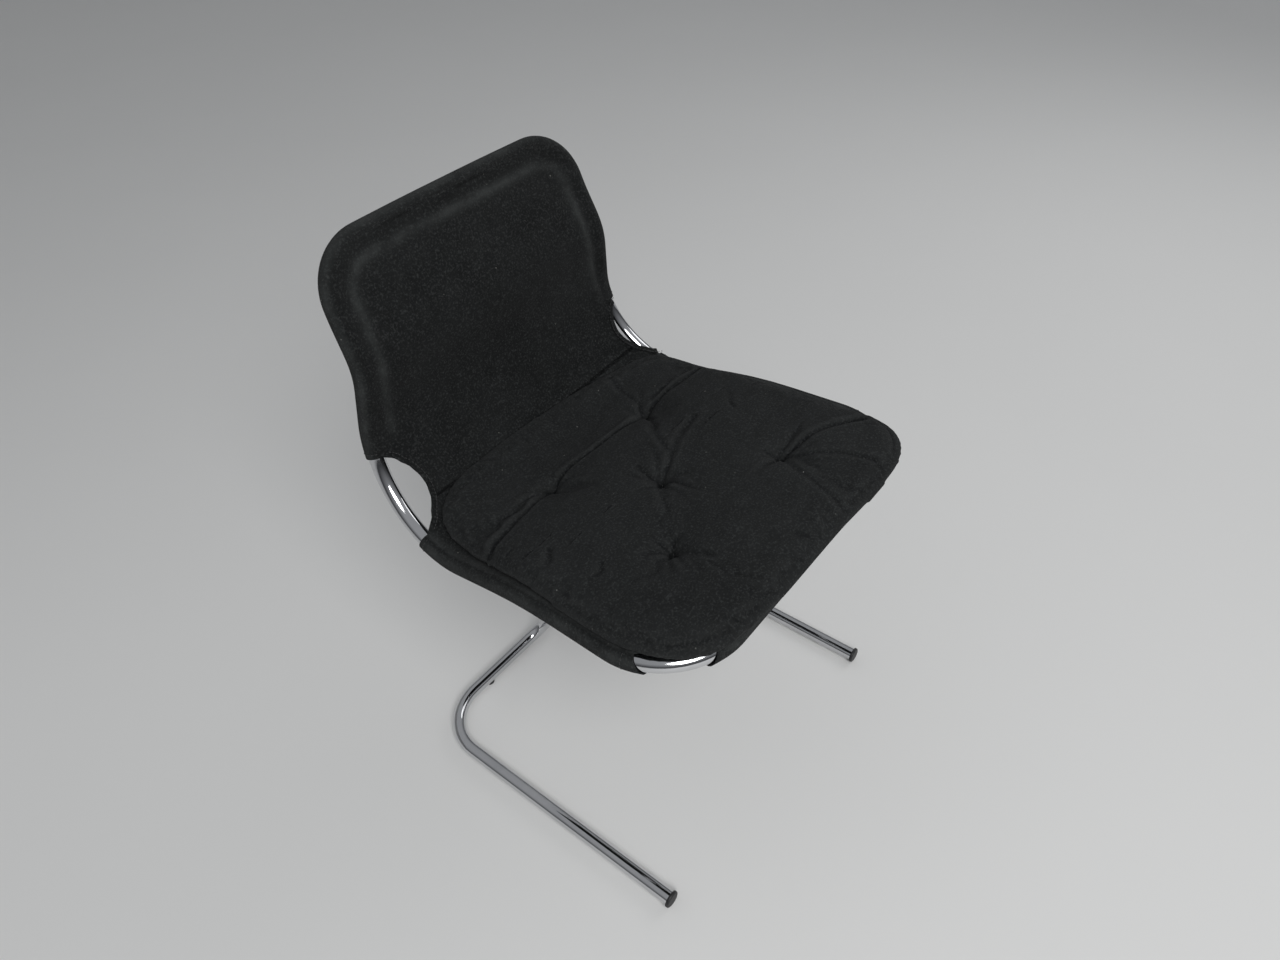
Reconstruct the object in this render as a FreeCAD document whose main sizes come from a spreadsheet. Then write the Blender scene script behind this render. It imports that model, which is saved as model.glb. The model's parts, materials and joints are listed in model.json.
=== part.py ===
import FreeCAD, Part
import math
import os

from FreeCAD import Placement, Rotation, Vector

# A cantilever chair: two bent tubes make the seat and back loop, two more make the base, and a
# canvas cover is stretched on the loop. A loose tufted cushion lies on the seat.
# +X is the sitter's left, the front of the seat faces -Y, the floor is z = 0.
# The origin is on the floor under the middle of the chair's box.

document = FreeCAD.newDocument("CantileverChair")
sheet = document.addObject("Spreadsheet::Sheet", "Sizes")

# Driving sizes, millimetres and degrees.
sizes = [
    ("tubeDiameter", 18.0),
    ("tubeWall", 1.5),
    ("seatFrontY", -233.2),
    ("seatFrontHeight", 450.0),
    ("seatFrontHalfWidth", 222.5),
    ("seatMiddleHalfWidth", 215.0),
    ("seatRearHalfWidth", 209.5),
    ("lumbarHalfWidth", 184.5),
    ("shoulderHalfWidth", 180.5),
    ("backTopHalfWidth", 176.0),
    ("seatFrontRun", 202.0),
    ("seatFrontSlope", 1.6),
    ("seatRearRun", 259.0),
    ("seatRearSlope", 11.2),
    ("lowerBackRun", 220.0),
    ("lowerBackLean", -7.5),
    ("middleBackRun", 56.0),
    ("middleBackLean", 22.0),
    ("upperBackRun", 67.5),
    ("upperBackLean", 16.5),
    ("frontCornerRadius", 85.5),
    ("seatBendRadius", 520.0),
    ("elbowRadius", 112.0),
    ("lumbarRadius", 82.0),
    ("shoulderRadius", 195.0),
    ("topCornerRadius", 58.0),
    ("topBow", 3.8),
    ("topBowRadius", 2000.0),
    ("spigotLength", 70.0),
    ("rivetDiameter", 4.0),
    ("rivetX", 20.0),
    ("runnerHalfSpacing", 227.0),
    ("runnerFrontY", -203.2),
    ("rearBarY", 215.8),
    ("floorCornerRadius", 73.0),
    ("stemBendRadius", 36.0),
    ("stemAngle", 57.0),
    ("stemGap", 0.3),
    ("armHeight", 412.0),
    ("weldRadius", 2.0),
    ("weldLength", 30.0),
    ("plugFlangeDiameter", 22.0),
    ("plugFlangeThickness", 4.0),
    ("plugShankLength", 20.0),
    ("glideDiameter", 14.0),
    ("glideX", 125.0),
    ("glideStemDiameter", 5.0),
    ("saddleThickness", 3.0),
    ("saddleLength", 76.0),
    ("saddleArc", 110.0),
    ("screwDiameter", 6.0),
    ("screwLength", 14.0),
    ("screwHeadDiameter", 11.0),
    ("screwHeadHeight", 3.3),
    ("headRounding", 1.2),
    ("socketDepth", 2.1),
    ("screwSpacing", 52.0),
    ("washerDiameter", 13.0),
    ("washerThickness", 1.5),
    ("washerSkirt", 2.4),
    ("nutDiameter", 9.0),
    ("nutCollarDiameter", 11.0),
    ("clothThickness", 1.8),
    ("clothGap", 0.3),
    ("clothLead", 30.0),
    ("slingBendRadius", 122.0),
    ("slingBendReach", 140.0),
    ("seatSag", 13.0),
    ("elbowSag", 24.0),
    ("sagFreeEdge", 25.0),
    ("backSleeveEndHeight", 506.0),
    ("seatSleeveRearY", 126.8),
    ("cornerBareStartAngle", 20.0),
    ("cornerBareEndAngle", 72.0),
    ("cutoutRadius", 70.0),
    ("cutoutDepth", 28.0),
    ("cushionWidth", 414.0),
    ("cushionLength", 398.0),
    ("cushionOverhang", 5.0),
    ("cushionThickness", 26.0),
    ("cushionEdgeThickness", 16.0),
    ("cushionCornerRadius", 64.0),
    ("cushionEdgeRoll", 26.0),
    ("cushionCrownReach", 90.0),
    ("cushionWaist", 3.0),
    ("cushionGap", 1.6),
    ("cushionCoverThickness", 1.5),
    ("tuftSpacingX", 172.0),
    ("tuftRowFront", 116.0),
    ("tuftRowRear", 303.0),
    ("tuftMiddle", 199.0),
    ("tuftRadius", 44.0),
    ("tuftDepth", 18.0),
    ("creaseDepth", 4.0),
    ("creaseHalfWidth", 16.0),
    ("tieDiameter", 2.4),
]
for row, (alias, value) in enumerate(sizes, start=1):
    sheet.set("A%d" % row, alias)
    sheet.set("B%d" % row, str(value))
    sheet.setAlias("B%d" % row, alias)
document.recompute()


def size(alias):
    return float(sheet.get(alias))


tubeRadius = size("tubeDiameter") / 2
boreRadius = tubeRadius - size("tubeWall")
sleeveInner = tubeRadius + size("clothGap")
sleeveOuter = sleeveInner + size("clothThickness")
runHeight = size("plugFlangeDiameter") / 2
stemX = tubeRadius + size("stemGap") / 2
xAxis = Vector(1, 0, 0)
zAxis = Vector(0, 0, 1)


def unit(vector):
    return Vector(vector).normalize()


def slope_point(start, run, degrees):
    # The point at the end of a run that falls by the given angle towards the rear.
    angle = math.radians(degrees)
    return Vector(0, start.y + run * math.cos(angle), start.z - run * math.sin(angle))


def lean_point(start, run, degrees):
    # The point at the end of a rising run that leans to the rear by the given angle.
    angle = math.radians(degrees)
    return Vector(0, start.y + run * math.sin(angle), start.z + run * math.cos(angle))


def side_profile():
    # Corners of the side of the loop, seen from the side: front, seat bend, elbow, lumbar, shoulder, top.
    front = Vector(0, size("seatFrontY"), size("seatFrontHeight"))
    seatBend = slope_point(front, size("seatFrontRun"), size("seatFrontSlope"))
    elbow = slope_point(seatBend, size("seatRearRun"), size("seatRearSlope"))
    lumbar = lean_point(elbow, size("lowerBackRun"), size("lowerBackLean"))
    shoulder = lean_point(lumbar, size("middleBackRun"), size("middleBackLean"))
    top = lean_point(shoulder, size("upperBackRun"), size("upperBackLean"))
    return [front, seatBend, elbow, lumbar, shoulder, top]


def loop_corners():
    # Corners of the left half of the loop, from the middle of the front to the middle of the top.
    front, seatBend, elbow, lumbar, shoulder, top = side_profile()
    widths = [
        (front, "seatFrontHalfWidth"),
        (seatBend, "seatMiddleHalfWidth"),
        (elbow, "seatRearHalfWidth"),
        (lumbar, "lumbarHalfWidth"),
        (shoulder, "shoulderHalfWidth"),
        (top, "backTopHalfWidth"),
    ]
    side = [Vector(-size(alias), point.y, point.z) for point, alias in widths]
    bowed = Vector(-size("backTopHalfWidth") / 3, top.y + size("topBow"), top.z)
    return [Vector(0, front.y, front.z)] + side + [bowed, Vector(0, bowed.y, top.z)]


def loop_radii():
    names = ["frontCornerRadius", "seatBendRadius", "elbowRadius", "lumbarRadius",
             "shoulderRadius", "topCornerRadius", "topBowRadius"]
    return [size(name) for name in names]


def rounded_wire(corners, radii):
    # Straight runs joined by tangent arcs, one radius for each inner corner.
    edges = []
    start = corners[0]
    for index, radius in enumerate(radii, start=1):
        corner = corners[index]
        before = unit(corners[index - 1] - corner)
        after = unit(corners[index + 1] - corner)
        halfTurn = (math.pi - before.getAngle(after)) / 2
        reach = radius * math.tan(halfTurn)
        bisector = unit(before + after)
        middle = corner + bisector * (radius / math.cos(halfTurn) - radius)
        arcStart = corner + before * reach
        arcEnd = corner + after * reach
        edges.append(Part.LineSegment(start, arcStart).toShape())
        edges.append(Part.Arc(arcStart, middle, arcEnd).toShape())
        start = arcEnd
    edges.append(Part.LineSegment(start, corners[-1]).toShape())
    return Part.Wire(edges)


def stretch(wire, fromLength, toLength):
    # The part of a wire between two lengths measured along it.
    edges = []
    passed = 0.0
    for edge in wire.OrderedEdges:
        low = max(fromLength - passed, 0.0)
        high = min(toLength - passed, edge.Length)
        if high - low > 0.01:
            first = edge.getParameterByLength(low)
            last = edge.getParameterByLength(high)
            edges.append(edge.Curve.toShape(first, last))
        passed += edge.Length
    return Part.Wire(edges)


def place_on(wire, length):
    # Point and direction at a length along a wire.
    passed = 0.0
    for edge in wire.OrderedEdges:
        if length <= passed + edge.Length + 0.001:
            parameter = edge.getParameterByLength(min(length - passed, edge.Length))
            return edge.valueAt(parameter), unit(edge.tangentAt(parameter))
        passed += edge.Length
    raise ValueError("the wire is shorter than %g mm" % length)


def length_where(wire, reached):
    # The first length along a wire, in half millimetre steps, where the test holds.
    step = 0.5
    length = 0.0
    while not reached(place_on(wire, length)[0]):
        length += step
    return length


loopPath = rounded_wire(loop_corners(), loop_radii())


def feature(kind, name, **properties):
    item = document.addObject(kind, name)
    for key, value in properties.items():
        setattr(item, key, value)
    return item


def bind(item, **expressions):
    for key, expression in expressions.items():
        item.setExpression(key, expression)
    return item


def cylinder(name, radius, height, base, direction, **more):
    # A cylinder whose radius and height are expressions, standing at base along direction.
    item = feature("Part::Cylinder", name, **more)
    item.Placement = Placement(base, Rotation(zAxis, direction))
    return bind(item, Radius=radius, Height=height)


def cut(name, base, tool):
    return feature("Part::Cut", name, Base=base, Tool=tool)


def group(name, items):
    return feature("Part::Compound", name, Links=items)


def swept_rod(name, path, radius):
    # A round bar along a path; the radius is an expression.
    start, direction = place_on(path, 0)
    spine = feature("Part::Feature", name + "Path", Shape=path)
    circle = feature("Part::Circle", name + "Circle")
    circle.Placement = Placement(start, Rotation(zAxis, direction))
    bind(circle, Radius=radius)
    edges = ["Edge%d" % number for number in range(1, len(path.Edges) + 1)]
    return feature("Part::Sweep", name + "Rod", Sections=[circle], Spine=(spine, edges), Solid=True)


def swept_tube(name, path, outer, inner):
    return cut(name, swept_rod(name + "Outer", path, outer), swept_rod(name + "Inner", path, inner))


def mirrored(name, source):
    return feature("Part::Mirroring", name, Source=source, Base=Vector(0, 0, 0), Normal=xAxis)


def solid(name, shape):
    return feature("Part::Feature", name, Shape=shape)


# Seat and back loop

def arm_row():
    # The y of the arms that carry the seat: where the leaning stems reach the arm height.
    rise = size("armHeight") - runHeight
    return size("rearBarY") - rise / math.tan(math.radians(size("stemAngle")))


def side_tube_at_arm():
    # Centre and direction of the left side tube over the arm.
    length = length_where(loopPath, lambda point: point.x < -stemX and point.y >= arm_row())
    return place_on(loopPath, length)


tubeCentre, tubeDirection = side_tube_at_arm()
# Radial direction of the saddle: inwards and down, square to the side tube.
saddleDirection = unit(Vector(1, 0, -1) - tubeDirection * Vector(1, 0, -1).dot(tubeDirection))


def screw_centres():
    half = size("screwSpacing") / 2
    return [tubeCentre - tubeDirection * half, tubeCentre + tubeDirection * half]


def radial_cylinders(name, radius, height, distance):
    # One cylinder on each screw axis, starting at a distance from the tube's centre.
    items = []
    for number, centre in enumerate(screw_centres(), start=1):
        base = centre + saddleDirection * distance
        items.append(cylinder("%s%d" % (name, number), radius, height, base, saddleDirection))
    return items


def make_seat_frame():
    outer = "Sizes.tubeDiameter / 2"
    inner = "Sizes.tubeDiameter / 2 - Sizes.tubeWall"
    tube = swept_tube("SideTube", loopPath, outer, inner)
    holes = group("NutHoles", radial_cylinders("NutHole", "Sizes.nutDiameter / 2 + 0.05",
                                               "Sizes.tubeDiameter / 2 + 1", 0))
    drilled = cut("SideTubeDrilled", tube, holes)
    joints = rivet_holes("FrontHole", 0, [-1]) + rivet_holes("TopHole", loopPath.Length, [-1])
    left = cut("seat_frame_left", drilled, group("JointHoles", joints))
    return [left, mirrored("seat_frame_right", left)]


def make_spigot(name, length):
    # A short tube inside the joint of the two halves, at a length along the loop's path.
    joint = place_on(loopPath, length)[0]
    base = joint - xAxis * (size("spigotLength") / 2)
    bore = "Sizes.tubeDiameter / 2 - Sizes.tubeWall"
    outside = cylinder(name + "Outside", bore + " - 0.05", "Sizes.spigotLength", base, xAxis)
    inside = cylinder(name + "Inside", bore + " - Sizes.tubeWall", "Sizes.spigotLength", base, xAxis)
    holes = group(name + "Holes", rivet_holes(name + "Hole", length, [-1, 1]))
    return cut(name, cut(name + "Tube", outside, inside), holes)


def joint_cylinders(name, radius, height, length, sides, low):
    # Upright cylinders beside a joint, starting at a distance under the centre of the tubes.
    joint = place_on(loopPath, length)[0]
    items = []
    for number, side in enumerate(sides, start=1):
        base = joint + xAxis * side * size("rivetX") - zAxis * low
        items.append(cylinder("%s%d" % (name, number), radius, height, base, zAxis))
    return items


def rivet_holes(name, length, sides):
    # Holes through the lower wall of the tube and of the spigot in it.
    height = "Sizes.tubeWall * 3 + 2"
    return joint_cylinders(name, "Sizes.rivetDiameter / 2 + 0.05", height, length, sides, tubeRadius + 2)


def make_joint_rivets():
    # Rivets sunk a little under the face of the tubes.
    rivets = []
    for name, length in (("FrontRivet", 0), ("TopRivet", loopPath.Length)):
        rivets += joint_cylinders(name, "Sizes.rivetDiameter / 2", "Sizes.tubeWall * 2", length,
                                  [-1, 1], tubeRadius - 0.3)
    return [group("joint_rivets", rivets)]


# Base

def base_corners():
    # Left base tube: runner, rear corner, rear bar, leaning stem, arm, and its turned-up end.
    spacing = size("runnerHalfSpacing")
    rear = size("rearBarY")
    row = arm_row()
    drop = tubeCentre.z - size("armHeight")
    end = tubeCentre + saddleDirection * (sleeveOuter + size("saddleThickness") + 0.65)
    return [
        Vector(-spacing, size("runnerFrontY"), runHeight),
        Vector(-spacing, rear, runHeight),
        Vector(-stemX, rear, runHeight),
        Vector(-stemX, row, size("armHeight")),
        Vector(tubeCentre.x + drop, row, size("armHeight")),
        end,
    ]


def make_base_tubes():
    stemBend = size("stemBendRadius")
    path = rounded_wire(base_corners(), [size("floorCornerRadius"), stemBend, stemBend, stemBend])
    tube = swept_tube("BaseTube", path, "Sizes.tubeDiameter / 2", "Sizes.tubeDiameter / 2 - Sizes.tubeWall")
    base = Vector(-size("glideX"), size("rearBarY"), 0)
    hole = cylinder("GlideHole", "Sizes.glideStemDiameter / 2 + 0.05", "Sizes.tubeDiameter / 2", base, zAxis)
    left = cut("base_tube_left", tube, hole)
    return [left, mirrored("base_tube_right", left)]


def make_weld_beads():
    # Short beads in the two grooves between the stems.
    angle = math.radians(size("stemAngle"))
    along = Vector(0, -math.cos(angle), math.sin(angle))
    across = Vector(0, math.sin(angle), math.cos(angle))
    touching = tubeRadius + size("weldRadius") + 0.05
    offset = math.sqrt(touching ** 2 - stemX ** 2)
    foot = Vector(0, size("rearBarY"), runHeight)
    stemLength = (size("armHeight") - runHeight) / math.sin(angle)
    beads = []
    for share in (0.16, 0.5, 0.84):
        for side in (-1, 1):
            start = foot + along * (stemLength * share - size("weldLength") / 2) + across * side * offset
            name = "WeldBead%d" % (len(beads) + 1)
            beads.append(cylinder(name, "Sizes.weldRadius", "Sizes.weldLength", start, along))
    return [group("stem_weld_beads", beads)]


def origin_plane(body, role):
    return next(item for item in body.Origin.OriginFeatures if item.Role == role)


def revolved_body(name, outline):
    # A turned piece: the outline is in radius and height, and turns about the height axis.
    body = document.addObject("PartDesign::Body", name)
    sketch = body.newObject("Sketcher::SketchObject", name + "Sketch")
    sketch.AttachmentSupport = [(origin_plane(body, "XZ_Plane"), "")]
    sketch.MapMode = "FlatFace"
    for index, (radius, height) in enumerate(outline):
        nextRadius, nextHeight = outline[(index + 1) % len(outline)]
        side = Part.LineSegment(Vector(radius, height, 0), Vector(nextRadius, nextHeight, 0))
        sketch.addGeometry(side, False)
    document.recompute()
    turned = body.newObject("PartDesign::Revolution", name + "Turned")
    turned.Profile = sketch
    turned.ReferenceAxis = (sketch, ["V_Axis"])
    turned.Angle = 360.0
    document.recompute()
    return body


def make_end_plugs():
    # A round flange with a softened rim, and a shank in the end of the runner.
    flange = size("plugFlangeDiameter") / 2
    thickness = size("plugFlangeThickness")
    shank = boreRadius - 0.05
    rim = 0.8
    outline = [
        (0, thickness),
        (flange - 2.5 * rim, thickness),
        (flange - 0.5 * rim, thickness - rim),
        (flange, thickness - 2 * rim),
        (flange, 0.05),
        (shank, 0.05),
        (shank, -size("plugShankLength") + rim),
        (shank - rim, -size("plugShankLength")),
        (0, -size("plugShankLength")),
    ]
    plugs = []
    for name, side in (("floor_end_plug_left", -1), ("floor_end_plug_right", 1)):
        body = revolved_body(name, outline)
        base = Vector(side * size("runnerHalfSpacing"), size("runnerFrontY"), runHeight)
        body.Placement = Placement(base, Rotation(zAxis, Vector(0, -1, 0)))
        plugs.append(body)
    return plugs


def make_rear_glides():
    # A flat button under the rear bar, hollowed to the tube, with a stem in the tube's hole.
    glides = []
    for name, side in (("rear_glide_left", -1), ("rear_glide_right", 1)):
        base = Vector(side * size("glideX"), size("rearBarY"), 0)
        button = cylinder(name + "Button", "Sizes.glideDiameter / 2", "Sizes.tubeDiameter / 4", base, zAxis)
        start = base + Vector(-size("glideDiameter"), 0, runHeight)
        hollow = cylinder(name + "Hollow", "Sizes.tubeDiameter / 2 + 0.05", "Sizes.glideDiameter * 2",
                          start, xAxis)
        stem = cylinder(name + "Stem", "Sizes.glideStemDiameter / 2", "Sizes.tubeDiameter / 3", base, zAxis)
        pad = cut(name + "Pad", button, hollow)
        glides.append(feature("Part::Fuse", name, Base=pad, Tool=stem))
    return glides


# Seat fixing

def make_saddles():
    # A strip curved round the lower inner side of the side tube, welded to the arm's end. Its
    # hollow follows the tube's bend.
    halfLength = size("saddleLength") / 2
    start = tubeCentre - tubeDirection * halfLength
    turn = Rotation(zAxis, tubeDirection)
    facing = turn.inverted().multVec(saddleDirection)
    facingAngle = math.degrees(math.atan2(facing.y, facing.x)) - size("saddleArc") / 2
    turn = turn.multiply(Rotation(zAxis, facingAngle))
    outside = feature("Part::Cylinder", "SaddleOutside")
    outside.Placement = Placement(start, turn)
    cloth = "Sizes.tubeDiameter / 2 + Sizes.clothGap + Sizes.clothThickness"
    bind(outside, Radius=cloth + " + 0.1 + Sizes.saddleThickness", Height="Sizes.saddleLength",
         Angle="Sizes.saddleArc")
    strip = cut("SaddleStrip", outside, swept_rod("SaddleInside", side_sleeve_path(), cloth + " + 0.1"))
    holes = group("SaddleHoles", radial_cylinders("SaddleHole", "Sizes.screwDiameter / 2 + 0.2",
                                                  "Sizes.tubeDiameter", 0))
    left = cut("arm_saddle_left", strip, holes)
    return [left, mirrored("arm_saddle_right", left)]


saddleOuter = sleeveOuter + 0.1 + size("saddleThickness")
headSeat = saddleOuter + size("washerThickness") + 0.05


def both_sides(name, items):
    left = group(name + "Left", items)
    return group(name, [left, mirrored(name + "Right", left)])


def make_washers():
    # Washers flat under the screw heads; below they reach down the saddle's round back.
    discs = radial_cylinders("WasherDisc", "Sizes.washerDiameter / 2",
                             "Sizes.washerThickness + Sizes.washerSkirt",
                             headSeat - size("washerThickness") - size("washerSkirt"))
    holes = radial_cylinders("WasherHole", "Sizes.screwDiameter / 2 + 0.2", "Sizes.tubeDiameter * 2", 0)
    start = tubeCentre - tubeDirection * size("saddleLength")
    saddleBack = "Sizes.tubeDiameter / 2 + Sizes.clothGap + Sizes.clothThickness + Sizes.saddleThickness"
    shaped = []
    for number, (disc, hole) in enumerate(zip(discs, holes), start=1):
        hollow = cylinder("WasherHollow%d" % number, saddleBack + " + 0.15", "Sizes.saddleLength * 2",
                          start, tubeDirection)
        cup = cut("WasherCup%d" % number, disc, hollow)
        shaped.append(cut("Washer%d" % number, cup, hole))
    return [both_sides("saddle_washers", shaped)]


def make_screws():
    # Button-head screws with a hexagon socket.
    screws = []
    for number, centre in enumerate(screw_centres(), start=1):
        seat = centre + saddleDirection * headSeat
        head = cylinder("ScrewHead%d" % number, "Sizes.screwHeadDiameter / 2", "Sizes.screwHeadHeight",
                        seat, saddleDirection)
        shank = cylinder("ScrewShank%d" % number, "Sizes.screwDiameter / 2", "Sizes.screwLength",
                         seat - saddleDirection * size("screwLength"), saddleDirection)
        socket = feature("Part::Prism", "ScrewSocket%d" % number, Polygon=6)
        floor = seat + saddleDirection * (size("screwHeadHeight") - size("socketDepth"))
        socket.Placement = Placement(floor, Rotation(zAxis, saddleDirection))
        bind(socket, Circumradius="Sizes.screwDiameter / 2.6", Height="Sizes.screwHeadHeight")
        blank = feature("Part::Fuse", "ScrewBlank%d" % number, Base=head, Tool=shank)
        rim = [(edge, size("headRounding"), size("headRounding")) for edge in rim_edges(blank, centre)]
        rounded = feature("Part::Fillet", "ScrewRounded%d" % number, Base=blank, Edges=rim)
        screws.append(cut("Screw%d" % number, rounded, socket))
    return [both_sides("mounting_screws", screws)]


def rim_edges(blank, centre):
    # Numbers of the edges at the outer rim of a screw head.
    document.recompute()
    reach = headSeat + size("screwHeadHeight")
    numbers = []
    for number, edge in enumerate(blank.Shape.Edges, start=1):
        middle = edge.CenterOfMass
        if abs((middle - centre).dot(saddleDirection) - reach) < 0.01:
            numbers.append(number)
    return numbers


def make_rivet_nuts():
    # Threaded sleeves in the side tubes, with a collar pulled up behind the wall.
    nuts = []
    collarTop = boreRadius - 0.6
    for number, centre in enumerate(screw_centres(), start=1):
        bottom = centre - saddleDirection * 1.5
        barrel = cylinder("NutBarrel%d" % number, "Sizes.nutDiameter / 2", "Sizes.tubeDiameter / 2 + 0.9",
                          bottom, saddleDirection)
        collar = cylinder("NutCollar%d" % number, "Sizes.nutCollarDiameter / 2", "Sizes.tubeWall",
                          centre + saddleDirection * (collarTop - 3), saddleDirection)
        blank = feature("Part::Fuse", "NutBlank%d" % number, Base=barrel, Tool=collar)
        bore = cylinder("NutBore%d" % number, "Sizes.screwDiameter / 2 + 0.05", "Sizes.tubeDiameter",
                        bottom - saddleDirection, saddleDirection)
        nuts.append(cut("Nut%d" % number, blank, bore))
    return [both_sides("rivet_nuts", nuts)]


# Canvas cover

def sleeve(name, path):
    # A sewn sleeve round the tube.
    outer = "Sizes.tubeDiameter / 2 + Sizes.clothGap + Sizes.clothThickness"
    inner = "Sizes.tubeDiameter / 2 + Sizes.clothGap"
    return swept_tube(name, path, outer, inner)


def corner_angle_length(degrees):
    # Length along the loop to a place on the front corner's bend, in degrees from the side run.
    straight = size("seatFrontHalfWidth") - size("frontCornerRadius")
    return straight + size("frontCornerRadius") * math.radians(90 - degrees)


def side_sleeve_path():
    # The part of the loop inside the seat's left side sleeve.
    start = corner_angle_length(size("cornerBareStartAngle"))
    end = length_where(loopPath, lambda p: p.x < -stemX and p.y >= size("seatSleeveRearY"))
    return stretch(loopPath, start, end)


def back_sleeve_path():
    # The part of the loop inside the left half of the back's sleeve.
    start = length_where(loopPath, lambda p: p.z >= size("backSleeveEndHeight"))
    return stretch(loopPath, start, loopPath.Length)


def make_sleeves():
    frontEnd = corner_angle_length(size("cornerBareEndAngle"))
    side = sleeve("SideSleeveWhole", side_sleeve_path())
    holes = group("SleeveHoles", radial_cylinders("SleeveHole", "Sizes.screwDiameter / 2 + 0.2",
                                                  "Sizes.tubeDiameter", 0))
    sideLeft = cut("seat_side_sleeve_left", side, holes)
    frontHalf = sleeve("FrontSleeveHalf", stretch(loopPath, 0, frontEnd))
    front = feature("Part::Fuse", "seat_front_sleeve", Base=frontHalf,
                    Tool=mirrored("FrontSleeveOther", frontHalf))
    backHalf = sleeve("BackSleeveHalf", back_sleeve_path())
    back = feature("Part::Fuse", "back_edge_sleeve", Base=backHalf,
                   Tool=mirrored("BackSleeveOther", backHalf))
    return [sideLeft, mirrored("seat_side_sleeve_right", sideLeft), front, back]


def offset_corners(corners, distance):
    # A profile moved to its inner side, which is up on the seat and forwards on the back.
    moved = []
    for index, corner in enumerate(corners):
        before = unit(corner - corners[index - 1]) if index else unit(corners[1] - corner)
        after = unit(corners[index + 1] - corner) if index + 1 < len(corners) else before
        side = unit(xAxis.cross(before) + xAxis.cross(after))
        moved.append(corner + side * (distance / side.dot(xAxis.cross(before))))
    return moved


def profile_wire(corners, radii, distance):
    # The rounded profile moved by a distance; radii shrink or grow with the turn of each corner.
    moved = offset_corners(corners, distance)
    fitted = []
    for index, radius in enumerate(radii, start=1):
        before = corners[index] - corners[index - 1]
        after = corners[index + 1] - corners[index]
        turnsIn = before.cross(after).x > 0
        fitted.append(radius - distance if turnsIn else radius + distance)
    return rounded_wire(moved, fitted)


def cloth_corners():
    # The side profile, started ahead of the front tube so that the cushion can reach past it.
    corners = side_profile()
    lead = unit(corners[0] - corners[1]) * size("clothLead")
    return [corners[0] + lead] + corners[1:]


def cloth_radii():
    # The stretched cloth spans the elbow, so its bend there is wider than the tubes'.
    return [size("seatBendRadius"), size("slingBendRadius") + sleeveOuter, size("lumbarRadius"),
            size("shoulderRadius")]


clothLine = profile_wire(cloth_corners(), cloth_radii(), 0)
elbowStart, elbowEnd = [length_where(clothLine, test) for test in (
    lambda p: p.y >= side_profile()[2].y - size("slingBendReach"),
    lambda p: p.z >= size("backSleeveEndHeight"))]
creaseLength = (elbowStart + elbowEnd) / 2


def fade(value, start, end):
    # A smooth rise from 0 at start to 1 at end.
    share = min(max((value - start) / (end - start), 0.0), 1.0)
    return share * share * (3 - 2 * share)


def sag(length):
    # How far the middle of the cloth hangs below its edges.
    front = size("clothLead") + size("sagFreeEdge")
    seat = size("seatSag") * fade(length, front, front + 120)
    elbow = (size("elbowSag") - size("seatSag")) * fade(length, elbowStart - 60, creaseLength)
    return (seat + elbow) * (1 - fade(length, creaseLength, elbowEnd))


def between(value, low, high, atLow, atHigh):
    return atLow + (atHigh - atLow) * (value - low) / (high - low)


def cloth_half_width(length):
    # Half the field between the sleeves.
    front, seatBend, elbow, lumbar, shoulder, top = side_profile()
    point = place_on(clothLine, length)[0]
    if point.y < seatBend.y and point.z < lumbar.z:
        seat = between(point.y, front.y, seatBend.y, size("seatFrontHalfWidth"), size("seatMiddleHalfWidth"))
    else:
        seat = between(point.y, seatBend.y, elbow.y, size("seatMiddleHalfWidth"), size("seatRearHalfWidth"))
    if point.z < lumbar.z:
        back = between(point.z, elbow.z, lumbar.z, size("seatRearHalfWidth"), size("lumbarHalfWidth"))
    elif point.z < shoulder.z:
        back = between(point.z, lumbar.z, shoulder.z, size("lumbarHalfWidth"), size("shoulderHalfWidth"))
    else:
        back = between(point.z, shoulder.z, top.z, size("shoulderHalfWidth"), size("backTopHalfWidth"))
    share = fade(length, elbowStart, elbowEnd)
    return seat * (1 - share) + back * share - edge_inset()


def edge_inset():
    # How far in from a tube's centre line a sheet laid on its sleeve starts.
    return math.sqrt(sleeveOuter ** 2 - sleeveInner ** 2) + 0.1


def curve(first, middle, last):
    # An arc through three points, or a line where they stand nearly in a row.
    chord = (first + last) / 2
    if middle.distanceToPoint(chord) < 0.05:
        return Part.LineSegment(first, last).toShape()
    return Part.Arc(first, middle, last).toShape()


def cloth_section(length):
    # A closed outline across the cloth, lower in its middle by the sag.
    point, direction = place_on(clothLine, length)
    up = unit(xAxis.cross(direction))
    half = xAxis * cloth_half_width(length)
    low = point + up * sleeveInner
    high = point + up * sleeveOuter
    hang = up * -sag(length)
    return Part.Wire([
        curve(low - half, low + hang, low + half),
        Part.LineSegment(low + half, high + half).toShape(),
        curve(high + half, high + hang, high - half),
        Part.LineSegment(high - half, low - half).toShape(),
    ])


def stations(fromLength, toLength):
    # Lengths for sections: both ends, and steps on every run and bend between them.
    lengths = [fromLength]
    passed = 0.0
    for edge in clothLine.OrderedEdges:
        low = max(passed, fromLength)
        high = min(passed + edge.Length, toLength)
        passed += edge.Length
        if high - low > 1:
            count = math.ceil((high - low) / 26)
            lengths += [low + (high - low) * number / count for number in range(1, count + 1)]
    return lengths


def mirrored_outline(points, radii):
    # A closed outline from a left half that starts and ends on the middle plane.
    half = rounded_wire(points, radii)
    other = half.mirror(Vector(0, 0, 0), xAxis)
    return Part.Wire(Part.__sortEdges__(half.Edges + other.Edges))


def prism(outline, direction):
    shape = Part.Face(outline).extrude(direction * 2000)
    shape.translate(direction * -1000)
    return shape


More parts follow.
